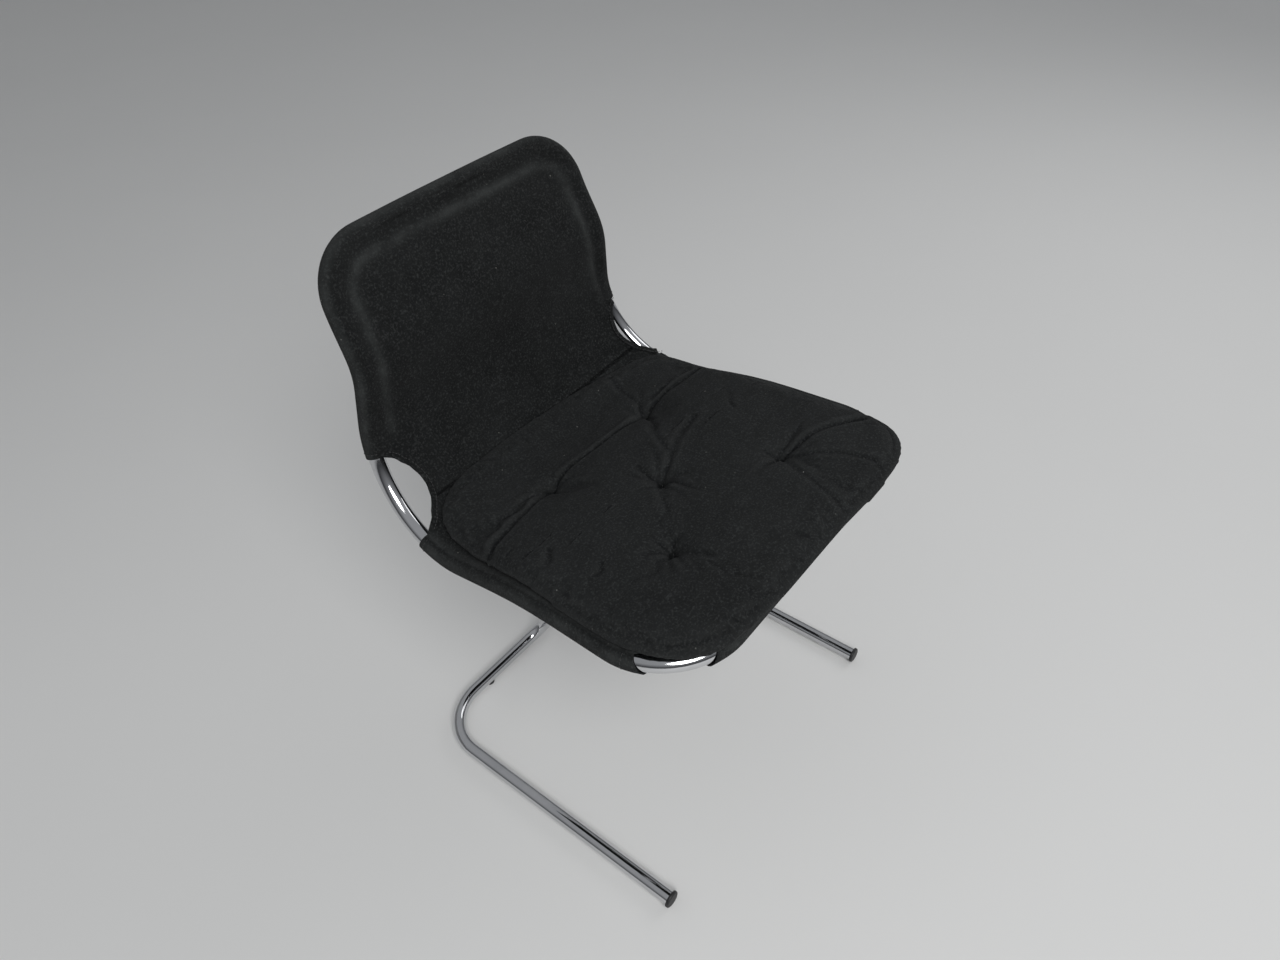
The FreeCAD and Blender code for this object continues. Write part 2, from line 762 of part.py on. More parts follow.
def cutout_tools():
    # Round bites in both edges of the cloth at the elbows, along the way that the cloth faces.
    backEnd = place_on(loopPath, length_where(loopPath, lambda p: p.z >= size("backSleeveEndHeight")))[0]
    seatEnd = place_on(loopPath, length_where(
        loopPath, lambda p: p.x < -stemX and p.y >= size("seatSleeveRearY")))[0]
    middle = (backEnd + seatEnd) / 2
    facing = xAxis.cross(unit(Vector(0, backEnd.y - seatEnd.y, backEnd.z - seatEnd.z)))
    radius = size("cutoutRadius")
    centre = middle - xAxis * (radius - size("cutoutDepth"))
    left = Part.makeCylinder(radius, 400, centre - facing * 200, facing)
    return left.fuse(left.mirror(Vector(0, 0, 0), xAxis))


def make_seat_sling():
    # The cloth under the cushion, from the front sleeve to the seam behind the cushion.
    inset = edge_inset() + 0.7
    front = size("seatFrontY") + inset
    side = size("seatFrontHalfWidth") - inset
    points = [Vector(0, front, 0), Vector(-side, front, 0), Vector(-side, 300, 0), Vector(0, 300, 0)]
    rounded = prism(mirrored_outline(points, [size("frontCornerRadius") - inset, 1]), zAxis)
    lengths = stations(size("clothLead") + inset - 3, creaseLength - 0.05)
    field = Part.makeLoft([cloth_section(length) for length in lengths], True, False)
    return [solid("seat_sling", field.common(rounded).cut(cutout_tools()))]


def make_back_front_panel():
    # The cloth that the sitter leans on, from the seam behind the cushion to the top sleeve.
    inset = edge_inset()
    top = side_profile()[-1].z - inset
    side = size("backTopHalfWidth") - inset
    foot = side_profile()[2].z - 50
    points = [Vector(0, 0, top), Vector(-side, 0, top), Vector(-side - 50, 0, foot), Vector(0, 0, foot)]
    rounded = prism(mirrored_outline(points, [size("topCornerRadius") - inset, 1]), Vector(0, 1, 0))
    lengths = stations(creaseLength, clothLine.Length - inset + 3)
    field = Part.makeLoft([cloth_section(length) for length in lengths], True, False)
    return [solid("back_front_panel", field.common(rounded).cut(cutout_tools()))]


def back_outline(bottom):
    # The back's field between the sleeves, seen from the front, down to a height.
    elbow, lumbar, shoulder, top = side_profile()[2:]
    inset = edge_inset() + 0.3
    rows = [("lumbarHalfWidth", lumbar.z), ("shoulderHalfWidth", shoulder.z),
            ("backTopHalfWidth", top.z - inset)]
    sides = [Vector(-size(alias) + inset, 0, height) for alias, height in rows]
    footX = between(bottom, elbow.z, lumbar.z, -size("seatRearHalfWidth") + inset, sides[0].x)
    points = [Vector(0, 0, bottom), Vector(footX, 0, bottom)] + sides + [Vector(0, 0, sides[-1].z)]
    radii = [1, size("lumbarRadius"), size("shoulderRadius"), size("topCornerRadius") - inset]
    return mirrored_outline(points, radii)


def make_back_rear_panel():
    # The second layer of the back's pocket, behind the tubes, with its hem level with the sleeve's.
    # Its top edge stops short of the bowed part of the sleeve.
    corners = side_profile()[2:]
    radii = [size("lumbarRadius"), size("shoulderRadius")]
    under = profile_wire(corners, radii, -sleeveOuter)
    over = profile_wire(corners, radii, -sleeveInner)
    ends = [Part.LineSegment(under.OrderedVertexes[end].Point, over.OrderedVertexes[end].Point).toShape()
            for end in (0, -1)]
    outline = Part.Wire(Part.__sortEdges__(under.Edges + over.Edges + ends))
    layer = Part.Face(outline).extrude(xAxis * size("seatFrontHalfWidth") * 2)
    layer.translate(xAxis * -size("seatFrontHalfWidth"))
    field = prism(back_outline(size("backSleeveEndHeight")), Vector(0, 1, 0))
    space = swept_rod("BackSleeveSpace", back_sleeve_path(),
                      "Sizes.tubeDiameter / 2 + Sizes.clothGap + Sizes.clothThickness + 0.1")
    document.recompute()
    spaces = [space.Shape, space.Shape.mirror(Vector(0, 0, 0), xAxis)]
    return [solid("back_rear_panel", layer.common(field).cut(spaces))]


# Cushion

cushionStart = size("clothLead") - sleeveOuter - size("cushionOverhang")
cushionBase = sleeveOuter + size("cushionGap")


def cushion_rise(length, inset):
    # Height of the side seam's roll and of the middle over it, at a length from the front edge.
    total = size("cushionLength")
    fromEnd = max(min(length, total - length) - inset, 0.0)
    fullness = min(1.0, 0.3 + 0.7 * math.sqrt(fromEnd / size("cushionEdgeRoll")))
    edge = (size("cushionEdgeThickness") - 2 * inset) * fullness
    fullCrown = size("cushionThickness") - size("cushionEdgeThickness")
    crown = fullCrown * min(1.0, fromEnd / size("cushionCrownReach")) + 0.5
    return edge, crown


def cushion_section(length, inset):
    # A closed outline across the cushion: it follows the cloth below, and its sides are round.
    point, direction = place_on(clothLine, cushionStart + length)
    up = unit(xAxis.cross(direction))
    total = size("cushionLength")
    corner = size("cushionCornerRadius") - inset
    fromEnd = max(min(length, total - length) - inset, 0.0)
    drawnIn = corner - math.sqrt(corner ** 2 - max(corner - fromEnd, 0) ** 2)
    waist = size("cushionWaist") * math.sin(math.pi * length / total)
    half = size("cushionWidth") / 2 - inset - drawnIn * 0.85 - waist
    edge, crown = cushion_rise(length, inset)
    hang = sag(cushionStart + length)

    def at(x, height):
        return point + xAxis * x + up * (cushionBase + inset + height)

    flat = half - min(edge * 0.5, half * 0.4)
    bulge = half - (half - flat) * 0.3
    seam = edge * 0.45
    arcs = [
        Part.Arc(at(-half, seam), at(-bulge, edge * 0.85), at(-flat, edge)).toShape(),
        curve(at(-flat, edge), at(0, edge + crown - hang), at(flat, edge)),
        Part.Arc(at(flat, edge), at(bulge, edge * 0.85), at(half, seam)).toShape(),
        Part.Arc(at(half, seam), at(bulge, seam * 0.28), at(flat, 0)).toShape(),
        curve(at(flat, 0), at(0, -hang), at(-flat, 0)),
        Part.Arc(at(-flat, 0), at(-bulge, seam * 0.28), at(-half, seam)).toShape(),
    ]
    return Part.Wire(arcs)


def cushion_solid(inset):
    # The crowned cushion, smaller by an inset on every side.
    total = size("cushionLength")
    ends = [0.0, 1.0, 4.0, 9.0, 17.0, 30.0, 50.0, 80.0, 120.0, 160.0]
    lengths = [inset + end for end in ends] + [total - inset - end for end in reversed(ends)]
    return Part.makeLoft([cushion_section(length, inset) for length in lengths], True, False)


def tuft_places():
    # Lengths from the front edge and x of the five tufts: two rows and the middle.
    x = size("tuftSpacingX") / 2
    front = size("tuftRowFront")
    rear = size("tuftRowRear")
    return [(front, -x), (front, x), (rear, -x), (rear, x), (size("tuftMiddle"), 0.0)]


def top_frame(length, x):
    # Point on the cushion's underside line, its up direction, and the top's height at that place.
    point, direction = place_on(clothLine, cushionStart + length)
    edge, crown = cushion_rise(length, 0)
    share = 1 - (2 * x / size("cushionWidth")) ** 2
    top = cushionBase + edge + (crown - sag(cushionStart + length)) * share
    return point + xAxis * x, unit(xAxis.cross(direction)), top


def tuft_dimple(place, depth):
    # A funnel with a flared rim, pressed in from the top.
    point, up, top = top_frame(*place)
    radius = size("tuftRadius")
    rim = Vector(radius, 0, top + 1.5)
    waist = Vector(radius * 0.18, 0, top - depth * 0.6)
    flare = Part.Arc(rim, Vector(radius * 0.48, 0, top - depth * 0.2), waist).toShape()
    tip = size("tieDiameter")
    corners = [waist, Vector(tip, 0, top - depth), Vector(0, 0, top - depth), Vector(0, 0, top + 6),
               Vector(radius, 0, top + 6), rim]
    sides = [Part.LineSegment(first, last).toShape() for first, last in zip(corners, corners[1:])]
    funnel = Part.Face(Part.Wire([flare] + sides)).revolve(Vector(0, 0, 0), zAxis, 360)
    funnel.Placement = Placement(point, Rotation(zAxis, up))
    return funnel


def rear_crease(depth):
    # The fold across the cushion at the rear tufts; its floor is an arc that comes up to the top
    # face before the sides.
    length = size("tuftRowRear")
    point, up, top = top_frame(length, 0)
    along = up.cross(xAxis)
    half = size("cushionWidth") / 2
    reach = half * 0.85
    hollow = sag(cushionStart + length) - cushion_rise(length, 0)[1]
    radius = 1 / (2 * hollow / half ** 2 + 2 * depth / reach ** 2)
    tip = point + up * (top - depth)
    rise = up * (depth + 4)
    slope = along * size("creaseHalfWidth")
    wedge = Part.Face(Part.makePolygon([tip, tip + rise + slope, tip + rise - slope, tip]))
    centre = tip + up * radius
    turn = math.degrees(half / radius)
    wedge.rotate(centre, along, -turn)
    return wedge.revolve(centre, along, 2 * turn)


def tufted(inset):
    # The cushion with its dimples and its crease pressed in.
    dimples = [tuft_dimple(place, size("tuftDepth") + inset) for place in tuft_places()]
    return cushion_solid(inset).cut(dimples + [rear_crease(size("creaseDepth") + inset)])


def tie_shape(place, radius, low, high):
    point, up, top = top_frame(*place)
    return Part.makeCylinder(radius, top - high - low, point + up * low, up)


def make_cushion():
    wall = size("cushionCoverThickness")
    radius = size("tieDiameter") / 2
    ties = []
    holes = []
    for place in tuft_places():
        share = 1 - (2 * place[1] / size("cushionWidth")) ** 2
        bottom = cushionBase - sag(cushionStart + place[0]) * share + wall + 0.5
        ties.append(tie_shape(place, radius, bottom, size("tuftDepth") + wall + 0.5))
        holes.append(tie_shape(place, radius + 0.1, bottom - 5, 0))
    return [solid("cushion_cover", tufted(0).cut(tufted(wall))),
            solid("cushion_foam", tufted(wall + 0.05).cut(holes)),
            solid("tuft_ties", Part.makeCompound(ties))]


def make_all():
    pieces = []
    pieces += make_seat_frame()
    pieces += [make_spigot("joint_spigot_front", 0), make_spigot("joint_spigot_top", loopPath.Length)]
    pieces += make_joint_rivets()
    pieces += make_base_tubes()
    pieces += make_weld_beads()
    pieces += make_end_plugs()
    pieces += make_rear_glides()
    pieces += make_saddles()
    pieces += make_washers()
    pieces += make_screws()
    pieces += make_rivet_nuts()
    pieces += make_sleeves()
    pieces += make_back_front_panel()
    pieces += make_back_rear_panel()
    pieces += make_seat_sling()
    pieces += make_cushion()
    return pieces


def check_and_write(pieces):
    document.recompute()
    for item in document.Objects:
        if "Invalid" in item.State or "Error" in item.State:
            raise RuntimeError("%s did not recompute: %s" % (item.Name, item.State))
    for piece in pieces:
        if piece.Shape.isNull() or not piece.Shape.isValid():
            raise RuntimeError("%s has no valid shape" % piece.Label)
    os.makedirs("parts", exist_ok=True)
    for piece in pieces:
        piece.Shape.exportStep("parts/%s.step" % piece.Label)
        box = piece.Shape.BoundBox
        print("%-24s solids %d volume %.0f y %.1f..%.1f z %.1f..%.1f" % (
            piece.Label, len(piece.Shape.Solids), piece.Shape.Volume,
            box.YMin, box.YMax, box.ZMin, box.ZMax))


check_and_write(make_all())
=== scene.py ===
import json
import math

import bmesh
import bpy
import numpy as np
from mathutils import Matrix, Vector
from mathutils.bvhtree import BVHTree


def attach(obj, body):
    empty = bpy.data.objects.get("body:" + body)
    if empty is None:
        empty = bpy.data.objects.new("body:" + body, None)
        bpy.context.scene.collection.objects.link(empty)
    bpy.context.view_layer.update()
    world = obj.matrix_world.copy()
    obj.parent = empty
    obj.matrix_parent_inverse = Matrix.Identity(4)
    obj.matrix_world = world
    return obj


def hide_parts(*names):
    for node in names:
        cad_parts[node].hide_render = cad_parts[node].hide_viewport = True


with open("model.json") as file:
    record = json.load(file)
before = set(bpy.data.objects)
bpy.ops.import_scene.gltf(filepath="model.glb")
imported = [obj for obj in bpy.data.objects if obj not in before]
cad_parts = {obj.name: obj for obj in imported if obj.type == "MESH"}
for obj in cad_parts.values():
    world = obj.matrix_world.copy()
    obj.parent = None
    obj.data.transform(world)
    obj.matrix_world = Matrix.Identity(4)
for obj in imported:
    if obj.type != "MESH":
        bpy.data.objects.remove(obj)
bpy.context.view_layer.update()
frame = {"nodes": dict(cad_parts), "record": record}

scene = bpy.context.scene
print("frame loaded")

# Bent tube loop of the seat and back, through the middle of the tube.
loopSizes = {
    "frontY": -0.2332,
    "frontHeight": 0.450,
    "halfWidths": [0.2225, 0.215, 0.2095, 0.1845, 0.1805, 0.176],
    "seatRuns": [(0.202, 1.6), (0.259, 11.2)],
    "backRuns": [(0.220, -7.5), (0.056, 22.0), (0.0675, 16.5)],
    "bends": [0.0855, 0.520, 0.112, 0.082, 0.195, 0.058, 2.0],
    "topBow": 0.0038,
    "clothElbow": 0.1331,
    "lead": 0.030,
}


def towards(vector):
    return vector / np.linalg.norm(vector)


def eachTowards(vectors):
    # rows of unit vectors
    return vectors / np.linalg.norm(vectors, axis=1, keepdims=True)


def smooth(value, start, end):
    # 0 before start, 1 after end, with soft ends
    share = np.clip((value - start) / (end - start), 0.0, 1.0)
    return share * share * (3 - 2 * share)


def bendCorners(corners, radii, spacing=0.005, turn=math.radians(4)):
    # points along straight runs and round bends
    points = []
    start = corners[0]

    def addRun(first, last):
        count = max(1, int(np.linalg.norm(last - first) / spacing))
        points.extend(first + (last - first) * step / count for step in range(count))

    for index, radius in enumerate(radii, start=1):
        corner = corners[index]
        before = towards(corners[index - 1] - corner)
        after = towards(corners[index + 1] - corner)
        half = (math.pi - math.acos(float(before @ after))) / 2
        reach = radius * math.tan(half)
        bendStart = corner + before * reach
        centre = corner + towards(before + after) * radius / math.cos(half)
        addRun(start, bendStart)
        out = towards(bendStart - centre)
        count = max(2, math.ceil(2 * half / turn))
        for step in range(count):
            angle = 2 * half * step / count
            points.append(centre + radius * (out * math.cos(angle) - before * math.sin(angle)))
        start = corner + after * reach
    addRun(start, corners[-1])
    points.append(corners[-1])
    return np.array(points)


class Line:
    # a row of close points with lengths along it
    def __init__(self, points):
        self.points = points
        steps = np.linalg.norm(np.diff(points, axis=0), axis=1)
        self.lengths = np.concatenate([[0.0], np.cumsum(steps)])
        self.total = float(self.lengths[-1])

    def at(self, length):
        return np.array([np.interp(length, self.lengths, self.points[:, axis]) for axis in range(3)]).T

    def along(self, length):
        step = 0.002
        ahead = self.at(np.minimum(length + step, self.total))
        back = self.at(np.maximum(length - step, 0.0))
        change = ahead - back
        return change / np.linalg.norm(change, axis=-1, keepdims=True)

    def firstWhere(self, test):
        for length in np.arange(0.0, self.total, 0.0005):
            if test(self.at(length)):
                return float(length)
        return self.total


def sideCorners():
    y, z = loopSizes["frontY"], loopSizes["frontHeight"]
    corners = [(y, z)]
    for run, slope in loopSizes["seatRuns"]:
        y += run * math.cos(math.radians(slope))
        z -= run * math.sin(math.radians(slope))
        corners.append((y, z))
    for run, lean in loopSizes["backRuns"]:
        y += run * math.sin(math.radians(lean))
        z += run * math.cos(math.radians(lean))
        corners.append((y, z))
    return corners


def loopCorners():
    side = sideCorners()
    corners = [np.array([0.0, *side[0]])]
    corners += [np.array([-width, y, z]) for width, (y, z) in zip(loopSizes["halfWidths"], side)]
    topY, topZ = side[-1]
    bowY = topY + loopSizes["topBow"]
    corners += [np.array([-loopSizes["halfWidths"][-1] / 3, bowY, topZ]), np.array([0.0, bowY, topZ])]
    return corners


tubeLine = Line(bendCorners(loopCorners(), loopSizes["bends"]))
clothCorners = [np.array([0.0, y, z]) for y, z in sideCorners()]
clothCorners[0] = clothCorners[0] + towards(clothCorners[0] - clothCorners[1]) * loopSizes["lead"]
clothLine = Line(bendCorners(clothCorners, [0.520, loopSizes["clothElbow"], 0.082, 0.195], 0.002,
                             math.radians(1)))


def clothNormal(length):
    return np.cross([1.0, 0.0, 0.0], clothLine.along(length))


def onCloth(x, length, height):
    # a place given by x, the length along the cloth and the height over the tubes' plane
    length = np.asarray(length, float)
    base = clothLine.at(length)
    place = base + clothNormal(length) * np.asarray(height, float)[..., None]
    place[..., 0] += x
    return place


def clothLengthOf(point):
    gaps = clothLine.points[:, 1:] - np.asarray(point)[1:]
    return float(clothLine.lengths[np.argmin((gaps ** 2).sum(axis=1))])


elbowSpan = (clothLine.firstWhere(lambda p: p[1] >= sideCorners()[2][0] - 0.140),
             clothLine.firstWhere(lambda p: p[2] >= 0.506))
creaseLength = sum(elbowSpan) / 2

# Canvas cover, sewn round the tubes.
coverSizes = {
    "sleeveRadius": 0.0110,
    "clothThickness": 0.0012,
    "seatSag": 0.013,
    "elbowSag": 0.024,
    "pocketDip": 0.0048,
    "pocketRidge": 0.0012,
    "hemHeight": 0.506,
    "seatTop": 0.46,
    "seatSleeveRear": 0.1268,
    "bareAngles": (20.0, 72.0),
    "cornerPull": 0.005,
    "flapReach": 0.012,
    "flapFade": 0.04,
    "columnWidth": 0.19,
    "cutoutDepth": 0.030,
    "seamInset": 0.024,
    "stitchLength": 0.0030,
    "stitchGap": 0.0014,
    "stitchWidth": 0.0007,
    "bindingWidth": 0.0075,
    "bindingThickness": 0.0022,
    "bindingAt": 0.42,
    "bindingStitchAt": 0.72,
    "stitchLift": 0.0006,
    "seatFlat": (0.50, 0.56),
    "backFlat": (0.42, 0.62),
}


def sagAt(length):
    front = loopSizes["lead"] + 0.025
    seat = coverSizes["seatSag"] * smooth(length, front, front + 0.120)
    deeper = coverSizes["elbowSag"] - coverSizes["seatSag"]
    elbow = deeper * smooth(length, elbowSpan[0] - 0.060, creaseLength)
    return (seat + elbow) * (1 - smooth(length, creaseLength, elbowSpan[1]))


def tubeFrames(lengths):
    # middle, cloth-side normal and outward direction on the left half of the loop
    points = tubeLine.at(lengths)
    ways = tubeLine.along(lengths)
    tops = np.array([clothNormal(clothLengthOf(point)) for point in points])
    outs = eachTowards(np.cross(tops, ways))
    tops = np.cross(ways, outs)
    return points, tops, outs


def loopMarks():
    # lengths along the left half of the loop where the parts of the cover start and end
    radius = loopSizes["bends"][0]
    straight = loopSizes["halfWidths"][0] - radius
    bareStart, bareEnd = coverSizes["bareAngles"]
    topStart = tubeLine.firstWhere(
        lambda p: p[2] > 0.7 and p[0] >= -loopSizes["halfWidths"][-1] + loopSizes["bends"][5])
    return {
        "cornerStart": straight,
        "frontFlapEnd": straight + radius * math.radians(90 - bareEnd),
        "sideFlapStart": straight + radius * math.radians(90 - bareStart),
        "seatSleeveEnd": tubeLine.firstWhere(lambda p: p[0] < -0.1 and p[1] >= coverSizes["seatSleeveRear"]),
        "backSleeveStart": tubeLine.firstWhere(lambda p: p[2] >= coverSizes["hemHeight"]),
        "topStart": topStart,
    }


marks = loopMarks()
markList = [marks[name] for name in
            ("cornerStart", "frontFlapEnd", "sideFlapStart", "seatSleeveEnd", "backSleeveStart", "topStart")]


def rowLengths():
    # rows of the cloth, spaced along the left tube, with one on every mark
    rows = []
    for first, last in zip(markList, markList[1:]):
        spacing = 0.0045 if first < marks["sideFlapStart"] or last == marks["topStart"] else 0.006
        count = max(2, math.ceil((last - first) / spacing))
        rows += [first + (last - first) * step / count for step in range(count)]
    return np.array(rows + [markList[-1]])


def columnShares(width):
    # shares across half of the cloth, close together near the edge
    inward = [0.0, 0.004, 0.008, 0.012, 0.016, 0.020, 0.024, 0.029, 0.036, 0.046, 0.060, 0.078, 0.100]
    shares = [1 - step / width for step in inward]
    rest = shares[-1]
    shares += [rest * (1 - step / 6) for step in range(1, 7)]
    left = [-share for share in shares]
    return np.array(left + shares[-2::-1])


def edgeDistance(x, length):
    # distance in the cloth's plane from the middle of the back's tubes
    side = np.interp(length, backWidthRows[0], backWidthRows[1]) - np.abs(x)
    top = topLength - length
    radius = loopSizes["bends"][5]
    inCorner = (side < radius) & (top < radius)
    rounded = radius - np.hypot(radius - side, radius - top)
    return np.where(inCorner, rounded, np.minimum(side, top))


def bowAt(x, length):
    # the top tube is bent a little to the rear in its middle
    half = loopSizes["halfWidths"][-1]
    share = np.clip((half - np.abs(x)) / (half * 2 / 3), 0.0, 1.0)
    return -loopSizes["topBow"] * share * np.clip((length - topLength + 0.12) / 0.12, 0, 1) ** 2


rows = rowLengths()
rowPoints, rowTops, rowOuts = tubeFrames(rows)
rowCloth = np.array([clothLengthOf(point) for point in rowPoints])
topLength = clothLine.total
backRows = rowPoints[:, 2] > 0.45
backWidthRows = (rowCloth[backRows & (rows < marks["topStart"] - 0.09)],
                 -rowPoints[backRows & (rows < marks["topStart"] - 0.09), 0])
print("tube lines drawn:", len(rows), "rows")


def newMesh(name, vertices, faces):
    mesh = bpy.data.meshes.new(name)
    mesh.from_pydata([tuple(float(value) for value in vertex) for vertex in vertices], [], faces)
    mesh.validate()
    mesh.polygons.foreach_set("use_smooth", [True] * len(mesh.polygons))
    piece = bpy.data.objects.new(name, mesh)
    scene.collection.objects.link(piece)
    return piece


def rowEnds():
    # where each row of the cloth ends on the left: its length along the cloth and its half width
    ends = []
    cutStart = marks["seatSleeveEnd"]
    cutEnd = marks["backSleeveStart"]
    for length, point, out in zip(rows, rowPoints, rowOuts):
        pull = 0.0
        if marks["frontFlapEnd"] < length < marks["sideFlapStart"]:
            share = (length - marks["frontFlapEnd"]) / (marks["sideFlapStart"] - marks["frontFlapEnd"])
            pull = coverSizes["cornerPull"] * math.sin(math.pi * share) ** 0.6
        place = point - out * pull
        half = -place[0]
        if cutStart < length < cutEnd:
            share = (length - cutStart) / (cutEnd - cutStart)
            half -= coverSizes["cutoutDepth"] * math.sin(math.pi * share) ** 0.8
        ends.append((clothLengthOf(place), half))
    return np.array(ends)


def sheetHeight(x, length, half):
    # height of the stretched cloth over the tubes' plane
    radius = coverSizes["sleeveRadius"]
    share = np.clip(np.abs(x) / half, 0, 1)
    height = radius - sagAt(length) * (1 - share ** 2) + bowAt(x, length)
    inside = edgeDistance(x, length)
    onBack = smooth(length, creaseLength, elbowSpan[1])
    dip = coverSizes["pocketDip"] * smooth(inside, 0.0, 0.0165)
    ridge = coverSizes["pocketRidge"] * np.exp(-((inside - 0.0215) / 0.0045) ** 2)
    return height - onBack * (dip - ridge)


def clothRipples(x, length):
    # soft pulls across the back and gathers by the cut-outs
    side = np.sign(x)
    half = np.interp(length, rowCloth, -rowPoints[:, 0])
    fromCorner = np.hypot(half - np.abs(x), (length - elbowSpan[1]))
    angle = np.arctan2(length - elbowSpan[1], half - np.abs(x))
    gathers = 0.0011 * np.exp(-fromCorner / 0.045) * smooth(fromCorner, 0.004, 0.016)
    gathers = gathers * np.sin(angle * 9 + side)
    wave = 0.0007 * np.sin(x * 21 + length * 9) * np.sin(length * 27 + x * 5 + 1.0)
    field = smooth(half - np.abs(x), 0.02, 0.07)
    return gathers * (fromCorner < 0.16) + wave * field


def drawnTo(row, edge, x, half, reach):
    # a row of the cloth whose ends are drawn to the tubes, softly over a reach
    fade = np.clip(1 - (half - np.abs(x)) / reach, 0, 1)[:, None] ** 2
    sign = np.where(x < 0, 1.0, -1.0)[:, None] * np.array([1.0, 0, 0]) + np.array([0, 1.0, 1.0])
    return row + (edge - row[0]) * sign * fade


def flapPull(fromEnd, angle):
    # how far the end of a sleeve is drawn back along the tube, most on the tube's far side
    fade = np.clip(1 - fromEnd / coverSizes["flapFade"], 0, 1)
    return coverSizes["flapReach"] * fade * math.sin(min(angle, math.pi) / 2) ** 2


def sheetGrid(keep):
    # cloth between the tubes, as a grid of places; the last row of the back follows the top tube
    shares = columnShares(coverSizes["columnWidth"])
    places = []
    lays = []
    for index in np.flatnonzero(keep):
        cloth, half = ends[index]
        x = shares * half
        length = rowCloth[index] + (cloth - rowCloth[index]) * np.abs(shares) ** 4
        flat = sheetHeight(x, length, half) + clothRipples(x, length) * (1 - np.abs(shares) ** 12)
        row = onCloth(x, length, flat)
        atCorner = abs(rows[index] - marks["cornerStart"]) < 1e-6
        if atCorner or ends[index][1] >= -rowPoints[index][0] - 1e-6:
            edge = rowPoints[index] + rowTops[index] * coverSizes["sleeveRadius"]
            row = drawnTo(row, edge, x, half, 0.03)
        places.append(row)
        lays.append(np.stack([x, length], axis=1))
    return np.array(places), np.array(lays)


def topRowFrames(xs):
    # middle, normal and outward direction of the top tube at each x
    lengths = np.arange(marks["topStart"] - 0.12, tubeLine.total, 0.001)
    lineX = tubeLine.at(lengths)[:, 0]
    at = np.interp(-np.abs(xs), lineX, lengths)
    points, tops, outs = tubeFrames(at)
    flip = np.where(xs > 0, -1.0, 1.0)
    for array in (points, tops, outs):
        array[:, 0] *= flip
    return points, tops, outs


def mirrorX(array):
    return array * np.array([-1.0, 1.0, 1.0])


ends = rowEnds()


class ClothBuilder:
    # gathers vertices, faces, the flat lay and the mask of wear and painted highlight of a sewn piece
    def __init__(self):
        self.vertices = []
        self.lays = []
        self.wearAndHighlight = []
        self.faces = []

    def add(self, place, lay, wearAndHighlight=0.0):
        self.vertices.append(tuple(place))
        self.lays.append(tuple(lay))
        self.wearAndHighlight.append(float(wearAndHighlight))
        return len(self.vertices) - 1

    def grid(self, places, lays, wearAndHighlight, flip=False):
        index = np.array([[self.add(p, l, w) for p, l, w in zip(*row)] for row in zip(places, lays, wearAndHighlight)])
        self.fill(index, flip)
        return index

    def fill(self, index, flip=False):
        for low, high in zip(index, index[1:]):
            for a, b, c, d in zip(low, low[1:], high[1:], high):
                if len({a, b, c, d}) == 4:
                    self.faces.append([int(v) for v in ((a, d, c, b) if flip else (a, b, c, d))])

    def build(self, name):
        piece = newMesh(name, self.vertices, self.faces)
        mesh = piece.data
        layer = mesh.uv_layers.new(name="lay")
        wearAndHighlight = mesh.attributes.new("wearAndHighlight", "FLOAT", "POINT")
        wearAndHighlight.data.foreach_set("value", self.wearAndHighlight[:len(mesh.vertices)])
        for loop in mesh.loops:
            layer.data[loop.index].uv = self.lays[loop.vertex_index]
        return piece


def wrapStrip(cloth, edge, points, tops, outs, lays, angles, tail=None, shift=None, last=None):
    # cloth going on round the tube from the edge of a sheet; angles from its top outwards
    radius = coverSizes["sleeveRadius"]
    columns = [list(edge)]
    for angle in angles:
        turned = radius * (tops * math.cos(angle) + outs * math.sin(angle))
        moved = points + turned
        if shift is not None:
            moved = moved + shift(angle)
        wearAndHighlight = math.exp(-((angle - math.radians(60)) / 0.5) ** 2)
        columns.append([cloth.add(p, (lay[0] + radius * angle, lay[1]), wearAndHighlight) for p, lay in zip(moved, lays)])
    if tail is not None:
        for side, height in tail:
            moved = points - outs * side + tops * height
            columns.append([cloth.add(p, (lay[0] + 0.04 + side, lay[1])) for p, lay in zip(moved, lays)])
    if last is not None:
        columns.append(list(last))
    return np.array(columns)


def thicken(piece, thickness):
    # the cloth's thickness, on the inner side of its faces
    solid = piece.modifiers.new("Cloth thickness", "SOLIDIFY")
    solid.thickness = thickness
    solid.offset = -1
    solid.use_even_offset = False
    return solid


def faceOutward(mesh):
    # turn the faces so that most of them look forwards, and up on the seat
    score = 0.0
    for polygon in mesh.polygons:
        up = polygon.normal.z if polygon.center.z < coverSizes["seatTop"] else 0.0
        score += polygon.area * (up - polygon.normal.y)
    if score < 0:
        mesh.flip_normals()


def closeSeams(piece):
    # join the edges that lie on each other, and face all of the cloth the same way
    mesh = bmesh.new()
    mesh.from_mesh(piece.data)
    bmesh.ops.remove_doubles(mesh, verts=mesh.verts, dist=0.00005)
    bmesh.ops.recalc_face_normals(mesh, faces=mesh.faces)
    mesh.to_mesh(piece.data)
    mesh.free()
    faceOutward(piece.data)


